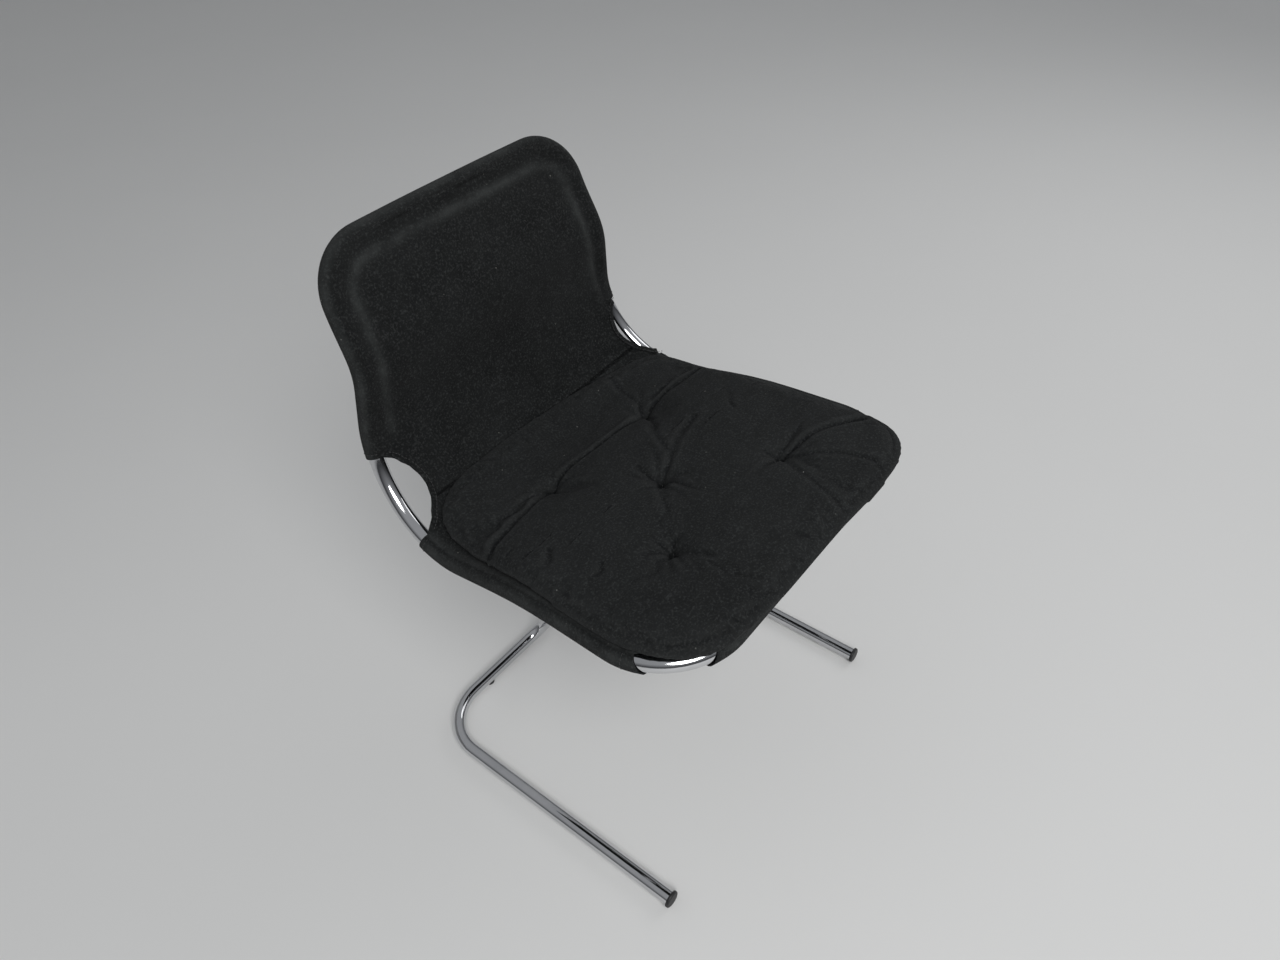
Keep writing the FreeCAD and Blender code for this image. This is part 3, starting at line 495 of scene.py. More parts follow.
def makeBackCover():
    keep = rowCloth >= creaseLength - 0.004
    first = int(np.flatnonzero(keep)[0])
    places, lays = sheetGrid(keep)
    shares = columnShares(coverSizes["columnWidth"])
    topPoints, topTops, topOuts = topRowFrames(shares * ends[-1][1])
    places[-1] = topPoints + topTops * coverSizes["sleeveRadius"]
    inside = edgeDistance(lays[..., 0], lays[..., 1])
    # painted highlight: the colour is lighter along the soft ridge about a tube's width inside the back's
    # edges
    wearAndHighlight = np.exp(-((inside - 0.021) / 0.006) ** 2) * smooth(lays[..., 1], elbowSpan[1], elbowSpan[1] + 0.05)
    cloth = ClothBuilder()
    front = cloth.grid(places, lays, wearAndHighlight)

    hem = int(np.flatnonzero(rows >= marks["backSleeveStart"] - 1e-6)[0])
    rear = []
    radius = coverSizes["sleeveRadius"]
    for index in range(hem, len(rows)):
        half = ends[index][1]
        x = shares * half
        length = np.full_like(x, rowCloth[index])
        insideRow = edgeDistance(x, length)
        height = -radius + coverSizes["pocketDip"] * smooth(insideRow, 0, 0.0165) + bowAt(x, length)
        height = height + 0.0006 * np.sin(x * 25 + 2) * np.sin(length * 30)
        row = onCloth(x, length, height)
        rear.append(drawnTo(row, rowPoints[index] - rowTops[index] * radius, x, half, 0.02))
    rear = np.array(rear)
    rear[-1] = topPoints - topTops * radius
    rearLays = lays[hem - first:] + np.array([0.6, 0.0])
    back = cloth.grid(rear, rearLays, np.zeros(rear.shape[:2]), flip=True)

    order = list(range(hem, len(rows)))
    leftFront = [front[i - first][0] for i in order]
    rightFront = [front[i - first][-1] for i in order]
    leftBack = [back[i - hem][0] for i in order]
    rightBack = [back[i - hem][-1] for i in order]
    edgeFront = leftFront + list(front[-1][1:-1]) + rightFront[::-1]
    edgeBack = leftBack + list(back[-1][1:-1]) + rightBack[::-1]
    points = np.concatenate([rowPoints[order], topPoints[1:-1], mirrorX(rowPoints[order])[::-1]])
    tops = np.concatenate([rowTops[order], topTops[1:-1], mirrorX(rowTops[order])[::-1]])
    outs = np.concatenate([rowOuts[order], topOuts[1:-1], mirrorX(rowOuts[order])[::-1]])
    stripLays = [(0.3, length) for length in np.cumsum(
        [0.0] + [float(np.linalg.norm(b - a)) for a, b in zip(points, points[1:])])]
    angles = [math.radians(step) for step in range(15, 180, 15)]
    strip = wrapStrip(cloth, edgeFront, points, tops, outs, stripLays, angles, last=edgeBack)
    cloth.fill(strip)
    piece = cloth.build("back_canvas")
    closeSeams(piece)
    return piece


def makeSeatCover():
    keep = rowCloth <= creaseLength + 0.004
    keep[0] = True
    places, lays = sheetGrid(keep)
    shares = columnShares(coverSizes["columnWidth"])
    radius = coverSizes["sleeveRadius"]
    frontX = shares * ends[0][1]
    places[0] = np.stack([frontX, np.full_like(frontX, rowPoints[0][1]),
                          np.full_like(frontX, rowPoints[0][2] + radius)], axis=1)
    inside = np.abs(np.abs(lays[..., 0]) - ends[keep][:, 1][:, None])
    cloth = ClothBuilder()
    # lighter colour along the sheet's edges over the tubes' crests: rubbing wear, with a painted highlight
    # line there
    grid = cloth.grid(places, lays, np.exp(-(inside / 0.006) ** 2))

    seam = coverSizes["seamInset"]
    drop = radius - 0.0048
    tangent = math.radians(360) - math.atan2(seam, drop) - math.acos(radius / math.hypot(seam, drop))
    steps = 13
    angles = [tangent * step / steps for step in range(1, steps + 1)]
    start = (math.sin(tangent) * radius, math.cos(tangent) * radius)
    tail = [(-start[0] + (seam + start[0]) * share, start[1] + (drop - start[1]) * share)
            for share in (0.33, 0.67, 1.0)]

    sleeve = np.flatnonzero((rows >= marks["sideFlapStart"] - 1e-6) & (rows <= marks["seatSleeveEnd"] + 1e-6))
    ways = tubeLine.along(rows[sleeve])
    fromFlap = rows[sleeve] - marks["sideFlapStart"]

    def sideShift(sign):
        def shift(angle):
            return -ways * flapPull(fromFlap, angle)[:, None] * np.array([sign, 1, 1])
        return shift

    for side, column in ((1.0, 0), (-1.0, -1)):
        flip = np.array([side, 1.0, 1.0])
        edge = [grid[i][column] for i in sleeve]
        stripLays = [(0.3 * side, length) for length in rows[sleeve]]
        strip = wrapStrip(cloth, edge, rowPoints[sleeve] * flip, rowTops[sleeve] * flip,
                          rowOuts[sleeve] * flip, stripLays, angles, tail, sideShift(side))
        cloth.fill(strip, flip=side < 0)

    frontRows = np.flatnonzero(rows <= marks["frontFlapEnd"] + 1e-6)[::-1]
    middlePoints = places[0][1:-1] - np.array([0, 0, radius])
    up = np.tile([0.0, 0.0, 1.0], (len(middlePoints), 1))
    ahead = np.tile([0.0, -1.0, 0.0], (len(middlePoints), 1))
    edge = [grid[i][0] for i in frontRows] + list(grid[0][1:-1]) + [grid[i][-1] for i in frontRows[::-1]]
    points = np.concatenate([rowPoints[frontRows], middlePoints, mirrorX(rowPoints[frontRows][::-1])])
    tops = np.concatenate([rowTops[frontRows], up, mirrorX(rowTops[frontRows][::-1])])
    outs = np.concatenate([rowOuts[frontRows], ahead, mirrorX(rowOuts[frontRows][::-1])])
    lengths = np.cumsum([0.0] + [float(np.linalg.norm(b - a)) for a, b in zip(points, points[1:])])
    fromEnd = np.minimum(lengths, lengths[-1] - lengths)
    sideways = eachTowards(np.gradient(points, axis=0))
    sideways *= np.where(lengths < lengths[-1] / 2, -1.0, 1.0)[:, None]

    def frontShift(angle):
        return sideways * flapPull(fromEnd, angle)[:, None]

    strip = wrapStrip(cloth, edge, points, tops, outs, [(0.6, length) for length in lengths], angles, tail,
                      frontShift)
    cloth.fill(strip)
    piece = cloth.build("seat_canvas")
    closeSeams(piece)
    return piece


backCanvas = makeBackCover()
seatCanvas = makeSeatCover()
print("canvas cover sewn:", len(backCanvas.data.vertices), len(seatCanvas.data.vertices))


def addRings(faces, base, rings, count, closed=False):
    # faces between rings of points, with the ends capped unless the rings close on themselves
    for ring in range(rings if closed else rings - 1):
        following = (ring + 1) % rings
        for step in range(count):
            nextStep = (step + 1) % count
            faces.append([base + ring * count + step, base + ring * count + nextStep,
                          base + following * count + nextStep, base + following * count + step])
    if not closed:
        faces.append([base + step for step in reversed(range(count))])
        faces.append([base + (rings - 1) * count + step for step in range(count)])


def sweptSection(name, path, sides, ups, section, closed=False):
    # a small section carried along a row of points
    vertices = []
    faces = []
    for point, side, up in zip(path, sides, ups):
        vertices += [point + side * a + up * b for a, b in section]
    addRings(faces, 0, len(path), len(section), closed)
    return newMesh(name, vertices, faces)


def roundedSection(width, thickness, steps=4):
    section = []
    radius = thickness / 2
    for centre, start in ((width / 2 - radius, -90), (-width / 2 + radius, 90)):
        for step in range(steps + 1):
            angle = math.radians(start + 180 * step / steps)
            section.append((centre + radius * math.cos(angle), radius * math.sin(angle)))
    return section


def freeEdge(fromMark, toMark):
    # the left free edge of the cloth between two marks, with its inward side and normal
    keep = np.flatnonzero((rows >= marks[fromMark] - 1e-6) & (rows <= marks[toMark] + 1e-6))
    lengths = ends[keep][:, 0]
    halves = ends[keep][:, 1]
    heights = sheetHeight(-halves, lengths, halves)
    path = onCloth(-halves, lengths, heights)
    ways = eachTowards(np.gradient(path, axis=0))
    ups = np.array([clothNormal(length) for length in lengths])
    sides = eachTowards(np.cross(ways, ups))
    ups = np.cross(sides, ways)
    return path, sides, ups


def makeBindings():
    # folded edge tape on the free edges, at the elbows and the front corners
    pieces = []
    section = roundedSection(coverSizes["bindingWidth"], coverSizes["bindingThickness"])
    for label, fromMark, toMark in (("elbow", "seatSleeveEnd", "backSleeveStart"),
                                    ("corner", "frontFlapEnd", "sideFlapStart")):
        path, sides, ups = (part[1:-1] for part in freeEdge(fromMark, toMark))
        inward = coverSizes["bindingWidth"] * coverSizes["bindingAt"]
        centre = path + sides * inward - ups * coverSizes["clothThickness"] / 2
        for side, flip in (("left", 1.0), ("right", -1.0)):
            mirror = np.array([flip, 1.0, 1.0])
            pieces.append(sweptSection("%s_binding_%s" % (label, side), centre * mirror, sides * mirror,
                                       ups * mirror, section))
            if flip < 0:
                pieces[-1].data.flip_normals()
    return pieces


def stitchRow(lines):
    # short raised stitches along rows of points, sunk a little into the cloth
    vertices = []
    faces = []
    length = coverSizes["stitchLength"]
    width = coverSizes["stitchWidth"] / 2
    stitchRings = [(-0.5, 0.35, -0.3), (-0.3, 1.0, 0.5), (0.3, 1.0, 0.5), (0.5, 0.35, -0.3)]
    for path, ups in lines:
        line = Line(path)
        place = length
        while place < line.total - length:
            middle = line.at(place)
            along = line.along(place)
            up = np.array([np.interp(place, line.lengths, ups[:, axis]) for axis in range(3)])
            up = towards(up - along * (up @ along))
            side = np.cross(along, up)
            base = len(vertices)
            for share, size, rise in stitchRings:
                for corner in range(6):
                    angle = math.tau * corner / 6
                    vertices.append(middle + along * length * share + side * width * size * math.cos(angle)
                                    + up * width * (rise + size * math.sin(angle)))
            addRings(faces, base, len(stitchRings), 6)
            place += length + coverSizes["stitchGap"]
    return vertices, faces


def makeCoverStitches():
    # stitch lines inside the bindings and round the sleeve hems
    lines = []
    for fromMark, toMark in (("seatSleeveEnd", "backSleeveStart"), ("frontFlapEnd", "sideFlapStart")):
        path, sides, ups = freeEdge(fromMark, toMark)
        inward = coverSizes["bindingWidth"] * coverSizes["bindingStitchAt"]
        centre = path + sides * inward + ups * coverSizes["stitchLift"]
        lines += [(centre, ups), (mirrorX(centre), mirrorX(ups))]
    radius = coverSizes["sleeveRadius"]
    for mark, step in (("seatSleeveEnd", -0.006), ("backSleeveStart", 0.006), ("sideFlapStart", 0.010)):
        length = marks[mark] + step
        points, tops, outs = tubeFrames(np.array([length]))
        angles = np.radians(np.arange(10, 175, 6))
        ring = np.array([points[0] + (radius + 0.0001) * (tops[0] * math.cos(a) + outs[0] * math.sin(a))
                         for a in angles])
        ups = np.array([tops[0] * math.cos(a) + outs[0] * math.sin(a) for a in angles])
        lines += [(ring, ups), (mirrorX(ring), mirrorX(ups))]
    vertices, faces = stitchRow(lines)
    return newMesh("cover_stitches", vertices, faces)


bindings = makeBindings()
coverStitches = makeCoverStitches()

thicken(backCanvas, coverSizes["clothThickness"])
thicken(seatCanvas, coverSizes["clothThickness"])
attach(backCanvas, "chair")
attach(seatCanvas, "chair")
for piece in bindings + [coverStitches]:
    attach(piece, "chair")
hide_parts("back_edge_sleeve", "back_front_panel", "back_rear_panel")
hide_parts("seat_sling", "seat_side_sleeve_left", "seat_side_sleeve_right", "seat_front_sleeve")
print("bindings and stitches sewn")

# Loose seat cushion, tufted in five places.
cushionSizes = {
    "start": 0.0139,
    "middle": (0.0, 0.205),
    "seamLine": [
        (0.012, 0.000), (0.085, -0.004), (0.150, -0.001), (0.188, 0.016), (0.204, 0.050), (0.202, 0.100),
        (0.2005, 0.180), (0.203, 0.270), (0.2015, 0.335), (0.181, 0.375), (0.115, 0.393), (0.030, 0.403),
        (-0.072, 0.405), (-0.150, 0.398), (-0.191, 0.368), (-0.204, 0.300), (-0.210, 0.220), (-0.218, 0.136),
        (-0.217, 0.085), (-0.200, 0.037), (-0.163, 0.010), (-0.080, 0.000),
    ],
    "base": 0.0118,
    "edge": 0.0150,
    "crown": 0.0105,
    "seamHeight": 0.0042,
    "roll": 0.024,
    "remeshLoss": 0.0040,
    "tufts": {"rearLeft": (-0.0842, 0.3026), "rearRight": (0.0850, 0.3002), "middle": (-0.0140, 0.1969),
              "frontRight": (0.0868, 0.1069), "frontLeft": (-0.0979, 0.1185)},
    "tuftDepth": 0.0140,
    "tuftWidth": 0.017,
    "creases": [
        ("rearLeft", (-0.205, 0.272), 0.0042), ("rearLeft", (0.085, 0.3002), 0.0040),
        ("rearRight", (0.190, 0.287), 0.0042), ("rearLeft", (-0.149, 0.312), 0.0022),
        ("rearLeft", (-0.087, 0.250), 0.0018), ("rearLeft", (-0.119, 0.337), 0.0018),
        ("rearLeft", (-0.034, 0.254), 0.0014), ("rearRight", (0.030, 0.217), 0.0014),
        ("rearRight", (0.127, 0.356), 0.0020), ("rearRight", (0.075, 0.250), 0.0018),
        ("rearRight", (0.116, 0.386), 0.0014), ("middle", (0.090, 0.225), 0.0022),
        ("middle", (-0.009, 0.243), 0.0020), ("middle", (-0.058, 0.197), 0.0024),
        ("middle", (-0.007, 0.127), 0.0022), ("middle", (0.036, 0.252), 0.0014),
        ("middle", (-0.079, 0.136), 0.0014), ("middle", (-0.045, 0.128), 0.0012),
        ("frontLeft", (-0.094, 0.154), 0.0024), ("frontLeft", (-0.066, 0.124), 0.0020),
        ("frontLeft", (-0.139, 0.112), 0.0022), ("frontLeft", (-0.124, 0.058), 0.0014),
        ("frontLeft", (-0.148, 0.146), 0.0016), ("frontLeft", (-0.153, 0.079), 0.0014),
        ("frontRight", (0.188, 0.061), 0.0042), ("frontRight", (0.084, 0.144), 0.0020),
        ("frontRight", (0.119, 0.112), 0.0018), ("frontRight", (0.018, 0.101), 0.0022),
        ("frontRight", (0.042, 0.006), 0.0014), ("frontRight", (0.127, 0.014), 0.0018),
        ("frontRight", (0.034, 0.038), 0.0012),
    ],
    "edgeCreases": [
        ((-0.168, 0.219), (-0.208, 0.199), 0.0022), ((-0.158, 0.160), (-0.188, 0.150), 0.0016),
        ((0.130, 0.196), (0.166, 0.234), 0.0014),
    ],
    "creaseGain": 1.5,
    "creaseWidth": (0.0026, 0.0048),
    "creaseBend": 0.0030,
    "ridgeGain": 0.42,
    "ridgeAside": 0.0075,
    "ridgeWidth": 0.004,
    "longCrease": 0.090,
    "voxel": 0.0042,
    "pressure": 4.0,
    "simFrames": 20,
    "mostSwell": 0.0038,
    "seamRadius": 0.0009,
    "fill": 0.5,
}


def cushionOutline(count, grown=0.0):
    # even points along a soft closed curve through the seam line: across and along the cloth
    marksAt = np.array(cushionSizes["seamLine"])
    before, after, later = (np.roll(marksAt, shift, axis=0) for shift in (1, -1, -2))
    share = np.linspace(0, 1, 12, endpoint=False)[None, :, None]
    low, high = marksAt[:, None], after[:, None]
    slopeLow = (high - before[:, None]) / 2
    slopeHigh = (later[:, None] - low) / 2
    curve = ((2 * share ** 3 - 3 * share ** 2 + 1) * low + (share ** 3 - 2 * share ** 2 + share) * slopeLow
             + (3 * share ** 2 - 2 * share ** 3) * high + (share ** 3 - share ** 2) * slopeHigh)
    path = curve.reshape(-1, 2)
    path = np.concatenate([path, path[:1]])
    lengths = np.concatenate([[0.0], np.cumsum(np.linalg.norm(np.diff(path, axis=0), axis=1))])
    at = np.linspace(0, lengths[-1], count, endpoint=False)
    outline = np.stack([np.interp(at, lengths, path[:, 0]), np.interp(at, lengths, path[:, 1])], axis=1)
    ways = eachTowards(np.roll(outline, -3, axis=0) - np.roll(outline, 3, axis=0))
    return outline + np.stack([ways[:, 1], -ways[:, 0]], axis=1) * grown


def slingLift(x, length):
    # height of the sling under the cushion over the tubes' plane
    share = np.clip(np.abs(x) / loopSizes["halfWidths"][2], 0, 1)
    return cushionSizes["base"] - sagAt(length) * (1 - share ** 2)


def cushionPlace(across, along, height):
    # from the cushion's own plane to the room
    x = np.asarray(across, float)
    length = cushionSizes["start"] + np.asarray(along, float)
    return onCloth(x, length, slingLift(x, length) + height)


def cushionLocal(points):
    # the reverse of cushionPlace for an array of points: across, along, height over the sling
    gaps = points[:, None, 1:] - clothLine.points[None, ::3, 1:]
    nearest = np.argmin((gaps ** 2).sum(axis=2), axis=1)
    length = clothLine.lengths[::3][nearest]
    length = length + ((points - clothLine.at(length)) * clothLine.along(length)).sum(axis=1)
    height = ((points - clothLine.at(length)) * clothNormal(length)).sum(axis=1)
    return points[:, 0], length - cushionSizes["start"], height - slingLift(points[:, 0], length)


def cushionHeights(inward):
    # top and underside over the sling at a distance inward from the seam
    size = cushionSizes
    share = np.clip(inward / size["roll"], 0, 1)
    rounding = np.sqrt(np.clip(1 - (1 - share) ** 2, 0, 1))
    top = size["seamHeight"] + (size["edge"] - size["seamHeight"]) * rounding
    top = top + size["crown"] * smooth(inward, 0.0, 0.120)
    under = size["seamHeight"] * (1 - rounding)
    return top, under


def cushionBlank():
    # the sewn shape before it is stuffed, as rings from the seam to the middle
    outline = cushionOutline(240, cushionSizes["remeshLoss"])
    centre = np.array(cushionSizes["middle"])
    shares = [1.0, 0.99, 0.975, 0.95, 0.92, 0.88, 0.82, 0.74, 0.64, 0.52, 0.38, 0.22, 0.08]
    count = len(outline)
    top, under = [], []
    for share in shares:
        ring = centre + (outline - centre) * share
        inward = np.linalg.norm(outline - ring, axis=1)
        high, low = cushionHeights(inward)
        top.append(cushionPlace(ring[:, 0], ring[:, 1], high))
        under.append(cushionPlace(ring[:, 0], ring[:, 1], low))
    vertices = np.concatenate(top + under[1:])
    faces = []
    rings = len(shares)

    def index(layer, ring, step):
        step %= count
        if layer == 0 or ring == 0:
            return ring * count + step
        return rings * count + (ring - 1) * count + step

    for layer in (0, 1):
        for ring in range(rings - 1):
            for step in range(count):
                quad = [index(layer, ring, step), index(layer, ring, step + 1),
                        index(layer, ring + 1, step + 1), index(layer, ring + 1, step)]
                faces.append(quad if layer == 0 else quad[::-1])
        last = [index(layer, rings - 1, step) for step in range(count)]
        faces.append(last if layer == 0 else last[::-1])
    return newMesh("seat_cushion", vertices, faces)


def remesh(piece, voxel):
    modifier = piece.modifiers.new("Remesh", "REMESH")
    modifier.mode = "VOXEL"
    modifier.voxel_size = voxel
    applyAll(piece)


def applyAll(piece):
    depsgraph = bpy.context.evaluated_depsgraph_get()
    shaped = bpy.data.meshes.new_from_object(piece.evaluated_get(depsgraph))
    piece.modifiers.clear()
    old = piece.data
    piece.data = shaped
    bpy.data.meshes.remove(old)
    shaped.name = piece.name
    shaped.polygons.foreach_set("use_smooth", [True] * len(shaped.polygons))


def pointsOf(piece):
    points = np.empty(len(piece.data.vertices) * 3)
    piece.data.vertices.foreach_get("co", points)
    return points.reshape(-1, 3)


def setPoints(piece, points):
    piece.data.vertices.foreach_set("co", points.ravel())
    piece.data.update()


def tuftPull(across, along, depth, width):
    # how far the top is drawn down round the tufts
    pull = np.zeros_like(across)
    for x, y in cushionSizes["tufts"].values():
        away = np.hypot(across - x, along - y)
        pull = np.maximum(pull, depth * np.exp(-(away / width) ** 1.15))
    return pull


def creaseDepth(across, along):
    # depth of the creases at each place: the long folds keep theirs, the short pleats fade along them
    size = cushionSizes
    depth = np.zeros_like(across)
    lines = [(size["tufts"][name], end, most) for name, end, most in size["creases"]] + size["edgeCreases"]
    narrow, wide = size["creaseWidth"]
    for number, ((x1, y1), (x2, y2), most) in enumerate(lines):
        dx, dy = x2 - x1, y2 - y1
        length = math.hypot(dx, dy)
        share = ((across - x1) * dx + (along - y1) * dy) / length ** 2
        near = np.clip(share, 0, 1)
        bend = size["creaseBend"] * np.sin(near * math.pi * 1.6 + number) * smooth(near, 0.0, 0.25)
        side = ((across - x1) * dy - (along - y1) * dx) / length + bend
        past = np.clip(share - 1, 0, None) * length + np.clip(-share, 0, None) * length
        if length > size["longCrease"]:
            left = 0.80 + 0.20 * np.cos(near * math.tau)
        else:
            left = 0.5 + 0.5 * np.cos(near * math.pi)
        away = np.hypot(side, past)
        width = narrow + (wide - narrow) * near
        depth += most * size["creaseGain"] * left * np.exp(-(away / width) ** 1.5)
        aside = (np.abs(side) - size["ridgeAside"]) / size["ridgeWidth"]
        ridge = np.exp(-aside ** 2) * np.exp(-(past / size["ridgeWidth"]) ** 2)
        depth -= most * size["ridgeGain"] * left * ridge * smooth(near, 0.05, 0.3)
    return depth


def makeCushion():
    size = cushionSizes
    piece = cushionBlank()
    outline = cushionOutline(240)
    remesh(piece, size["voxel"])
    points = pointsOf(piece)
    across, along, height = cushionLocal(points)
    isTop = height > size["seamHeight"] + 0.001
    pull = tuftPull(across, along, size["tuftDepth"] * 0.7, size["tuftWidth"] * 1.5)
    points = cushionPlace(across, along, height - np.where(isTop, pull, 0))
    setPoints(piece, points)
    stuffCushion(piece, outline)
    print("cushion shaped")
    subdivide = piece.modifiers.new("Finer", "SUBSURF")
    subdivide.levels = 1
    applyAll(piece)
    points = pointsOf(piece)
    across, along, height = cushionLocal(points)
    inward = outlineDistance(across, along, outline)
    onTop = smooth(height, size["seamHeight"] + 0.002, size["seamHeight"] + 0.006)
    pinch = tuftPull(across, along, size["tuftDepth"] * 0.55, size["tuftWidth"] * 0.42)
    reachEdge = smooth(inward, -0.002, 0.012)
    crease = creaseDepth(across, along) * (0.35 + 0.65 * reachEdge)
    soft = (0.0008 * np.sin(across * 47 + along * 13) * np.sin(along * 39 - across * 11 + 0.7)
            + 0.0004 * np.sin(across * 101 - along * 83 + 1.3) * np.sin(along * 121 + across * 37))
    height = height - onTop * (pinch + crease - soft * smooth(inward, 0.0, 0.03))
    height = np.maximum(height, 0.0004)
    setPoints(piece, cushionPlace(across, along, height))
    return piece, outline


def outlineDistance(across, along, outline):
    # distance inward from the seam, negative outside
    place = np.stack([across, along], axis=1)
    best = np.full(len(place), 1e9)
    sign = np.ones(len(place))
    for a, b in zip(outline[::2], np.roll(outline[::2], -1, axis=0)):
        way = b - a
        share = np.clip(((place - a) @ way) / (way @ way), 0, 1)
        gap = place - (a + share[:, None] * way)
        away = np.hypot(gap[:, 0], gap[:, 1])
        cross = way[0] * gap[:, 1] - way[1] * gap[:, 0]
        closer = away < best
        best = np.where(closer, away, best)
        sign = np.where(closer, np.sign(cross), sign)
    inside = sign if np.sum(sign) > 0 else -sign
    return best * inside


def stuffCushion(piece, outline):
    # the cloth swells with the filling; the seam and the tufts are held
    size = cushionSizes
    start = pointsOf(piece)
    across, along, height = cushionLocal(start)
    inward = outlineDistance(across, along, outline)
    tuft = tuftPull(across, along, 1.0, 0.004)
    seam = np.exp(-(np.clip(inward, 0, None) / 0.004) ** 2)
    hold = np.clip(np.maximum(tuft * 1.6, seam), 0, 1)
    hold[height < size["seamHeight"] - 0.001] = 1.0
    group = piece.vertex_groups.new(name="held")
    for index in np.flatnonzero(hold > 0.02):
        group.add([int(index)], float(hold[index]), "REPLACE")
    cloth = piece.modifiers.new("Stuffing", "CLOTH")
    settings = cloth.settings
    settings.quality = 5
    settings.mass = 0.3
    settings.tension_stiffness = 12
    settings.compression_stiffness = 12
    settings.shear_stiffness = 5
    settings.bending_stiffness = 0.3
    settings.use_pressure = True
    settings.uniform_pressure_force = size["pressure"]
    settings.shrink_min = -0.03
    settings.vertex_group_mass = group.name
    settings.pin_stiffness = 1.0
    settings.effector_weights.gravity = 0
    cloth.collision_settings.use_collision = False
    cloth.collision_settings.use_self_collision = False
    cloth.point_cache.frame_start = 1
    cloth.point_cache.frame_end = size["simFrames"]
    for number in range(1, size["simFrames"] + 1):
        scene.frame_set(number)
    applyAll(piece)
    piece.vertex_groups.clear()
    scene.frame_set(1)
    moved = pointsOf(piece) - start
    far = np.linalg.norm(moved, axis=1, keepdims=True)
    limited = start + moved * np.minimum(1.0, size["mostSwell"] / np.maximum(far, 1e-9))
    setPoints(piece, limited)


def makeCushionSeam(outline):
    # the welt along the seam, low on the cushion's side
    size = cushionSizes
    path = cushionPlace(outline[:, 0], outline[:, 1], np.full(len(outline), size["seamHeight"]))
    ways = eachTowards(np.roll(path, -1, axis=0) - np.roll(path, 1, axis=0))
    ups = np.array([clothNormal(clothLengthOf(point)) for point in path])
    sides = eachTowards(np.cross(ways, ups))
    ups = np.cross(sides, ways)
    radius = size["seamRadius"]
    section = [(radius * 1.5 * math.cos(a), radius * math.sin(a)) for a in np.radians(np.arange(0, 360, 45))]
    return sweptSection("cushion_seam", path, sides, ups, section, closed=True)


tuftStitchSizes = {
    "angles": (0.5, 2.0),
    "reach": 0.0045,
    "points": 7,
    "radius": 0.0006,
    "endShare": 0.5,
    "lift": 0.0002,
    "castHeight": 0.04,
    "restHeight": 0.01,
    "corners": 8,
}


def makeTuftStitches(cushion):
    # a short crossed stitch of thread at the bottom of every tuft
    tree = BVHTree.FromPolygons([tuple(v.co) for v in cushion.data.vertices],
                                [tuple(p.vertices) for p in cushion.data.polygons])
    sizes = tuftStitchSizes
    castHeight = sizes["castHeight"]
    lines = []
    for x, y in cushionSizes["tufts"].values():
        for angle in sizes["angles"]:
            row = []
            ups = []
            for share in np.linspace(-sizes["reach"], sizes["reach"], sizes["points"]):
                place = cushionPlace(np.array([x + share * math.cos(angle)]),
                                     np.array([y + share * math.sin(angle)]), np.array([castHeight]))[0]
                up = clothNormal(clothLengthOf(place))
                hit = tree.ray_cast(Vector(place), Vector(-up))[0]
                missed = place - up * (castHeight - sizes["restHeight"])
                row.append(np.array(hit) + up * sizes["lift"] if hit else missed)
                ups.append(up)
            lines.append((np.array(row), np.array(ups)))
    vertices = []
    faces = []
    for path, ups in lines:
        base = len(vertices)
        last = len(path) - 1
        for index, (point, up) in enumerate(zip(path, ups)):
            way = towards(path[min(index + 1, last)] - path[max(index - 1, 0)])
            side = np.cross(way, up)
            thick = sizes["radius"] * (sizes["endShare"] if index in (0, last) else 1.0)
            for corner in range(sizes["corners"]):
                a = math.tau * corner / sizes["corners"]
                vertices.append(point + side * thick * math.cos(a) + up * thick * math.sin(a))
        addRings(faces, base, len(path), sizes["corners"])
    return newMesh("tuft_stitches", vertices, faces)


seatCushion, cushionEdge = makeCushion()
cushionSeam = makeCushionSeam(cushionEdge)
tuftStitches = makeTuftStitches(seatCushion)
for piece in (seatCushion, cushionSeam, tuftStitches):
    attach(piece, "cushion")
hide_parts("cushion_cover", "cushion_foam")
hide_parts("tuft_ties")
print("cushion done:", len(seatCushion.data.vertices))
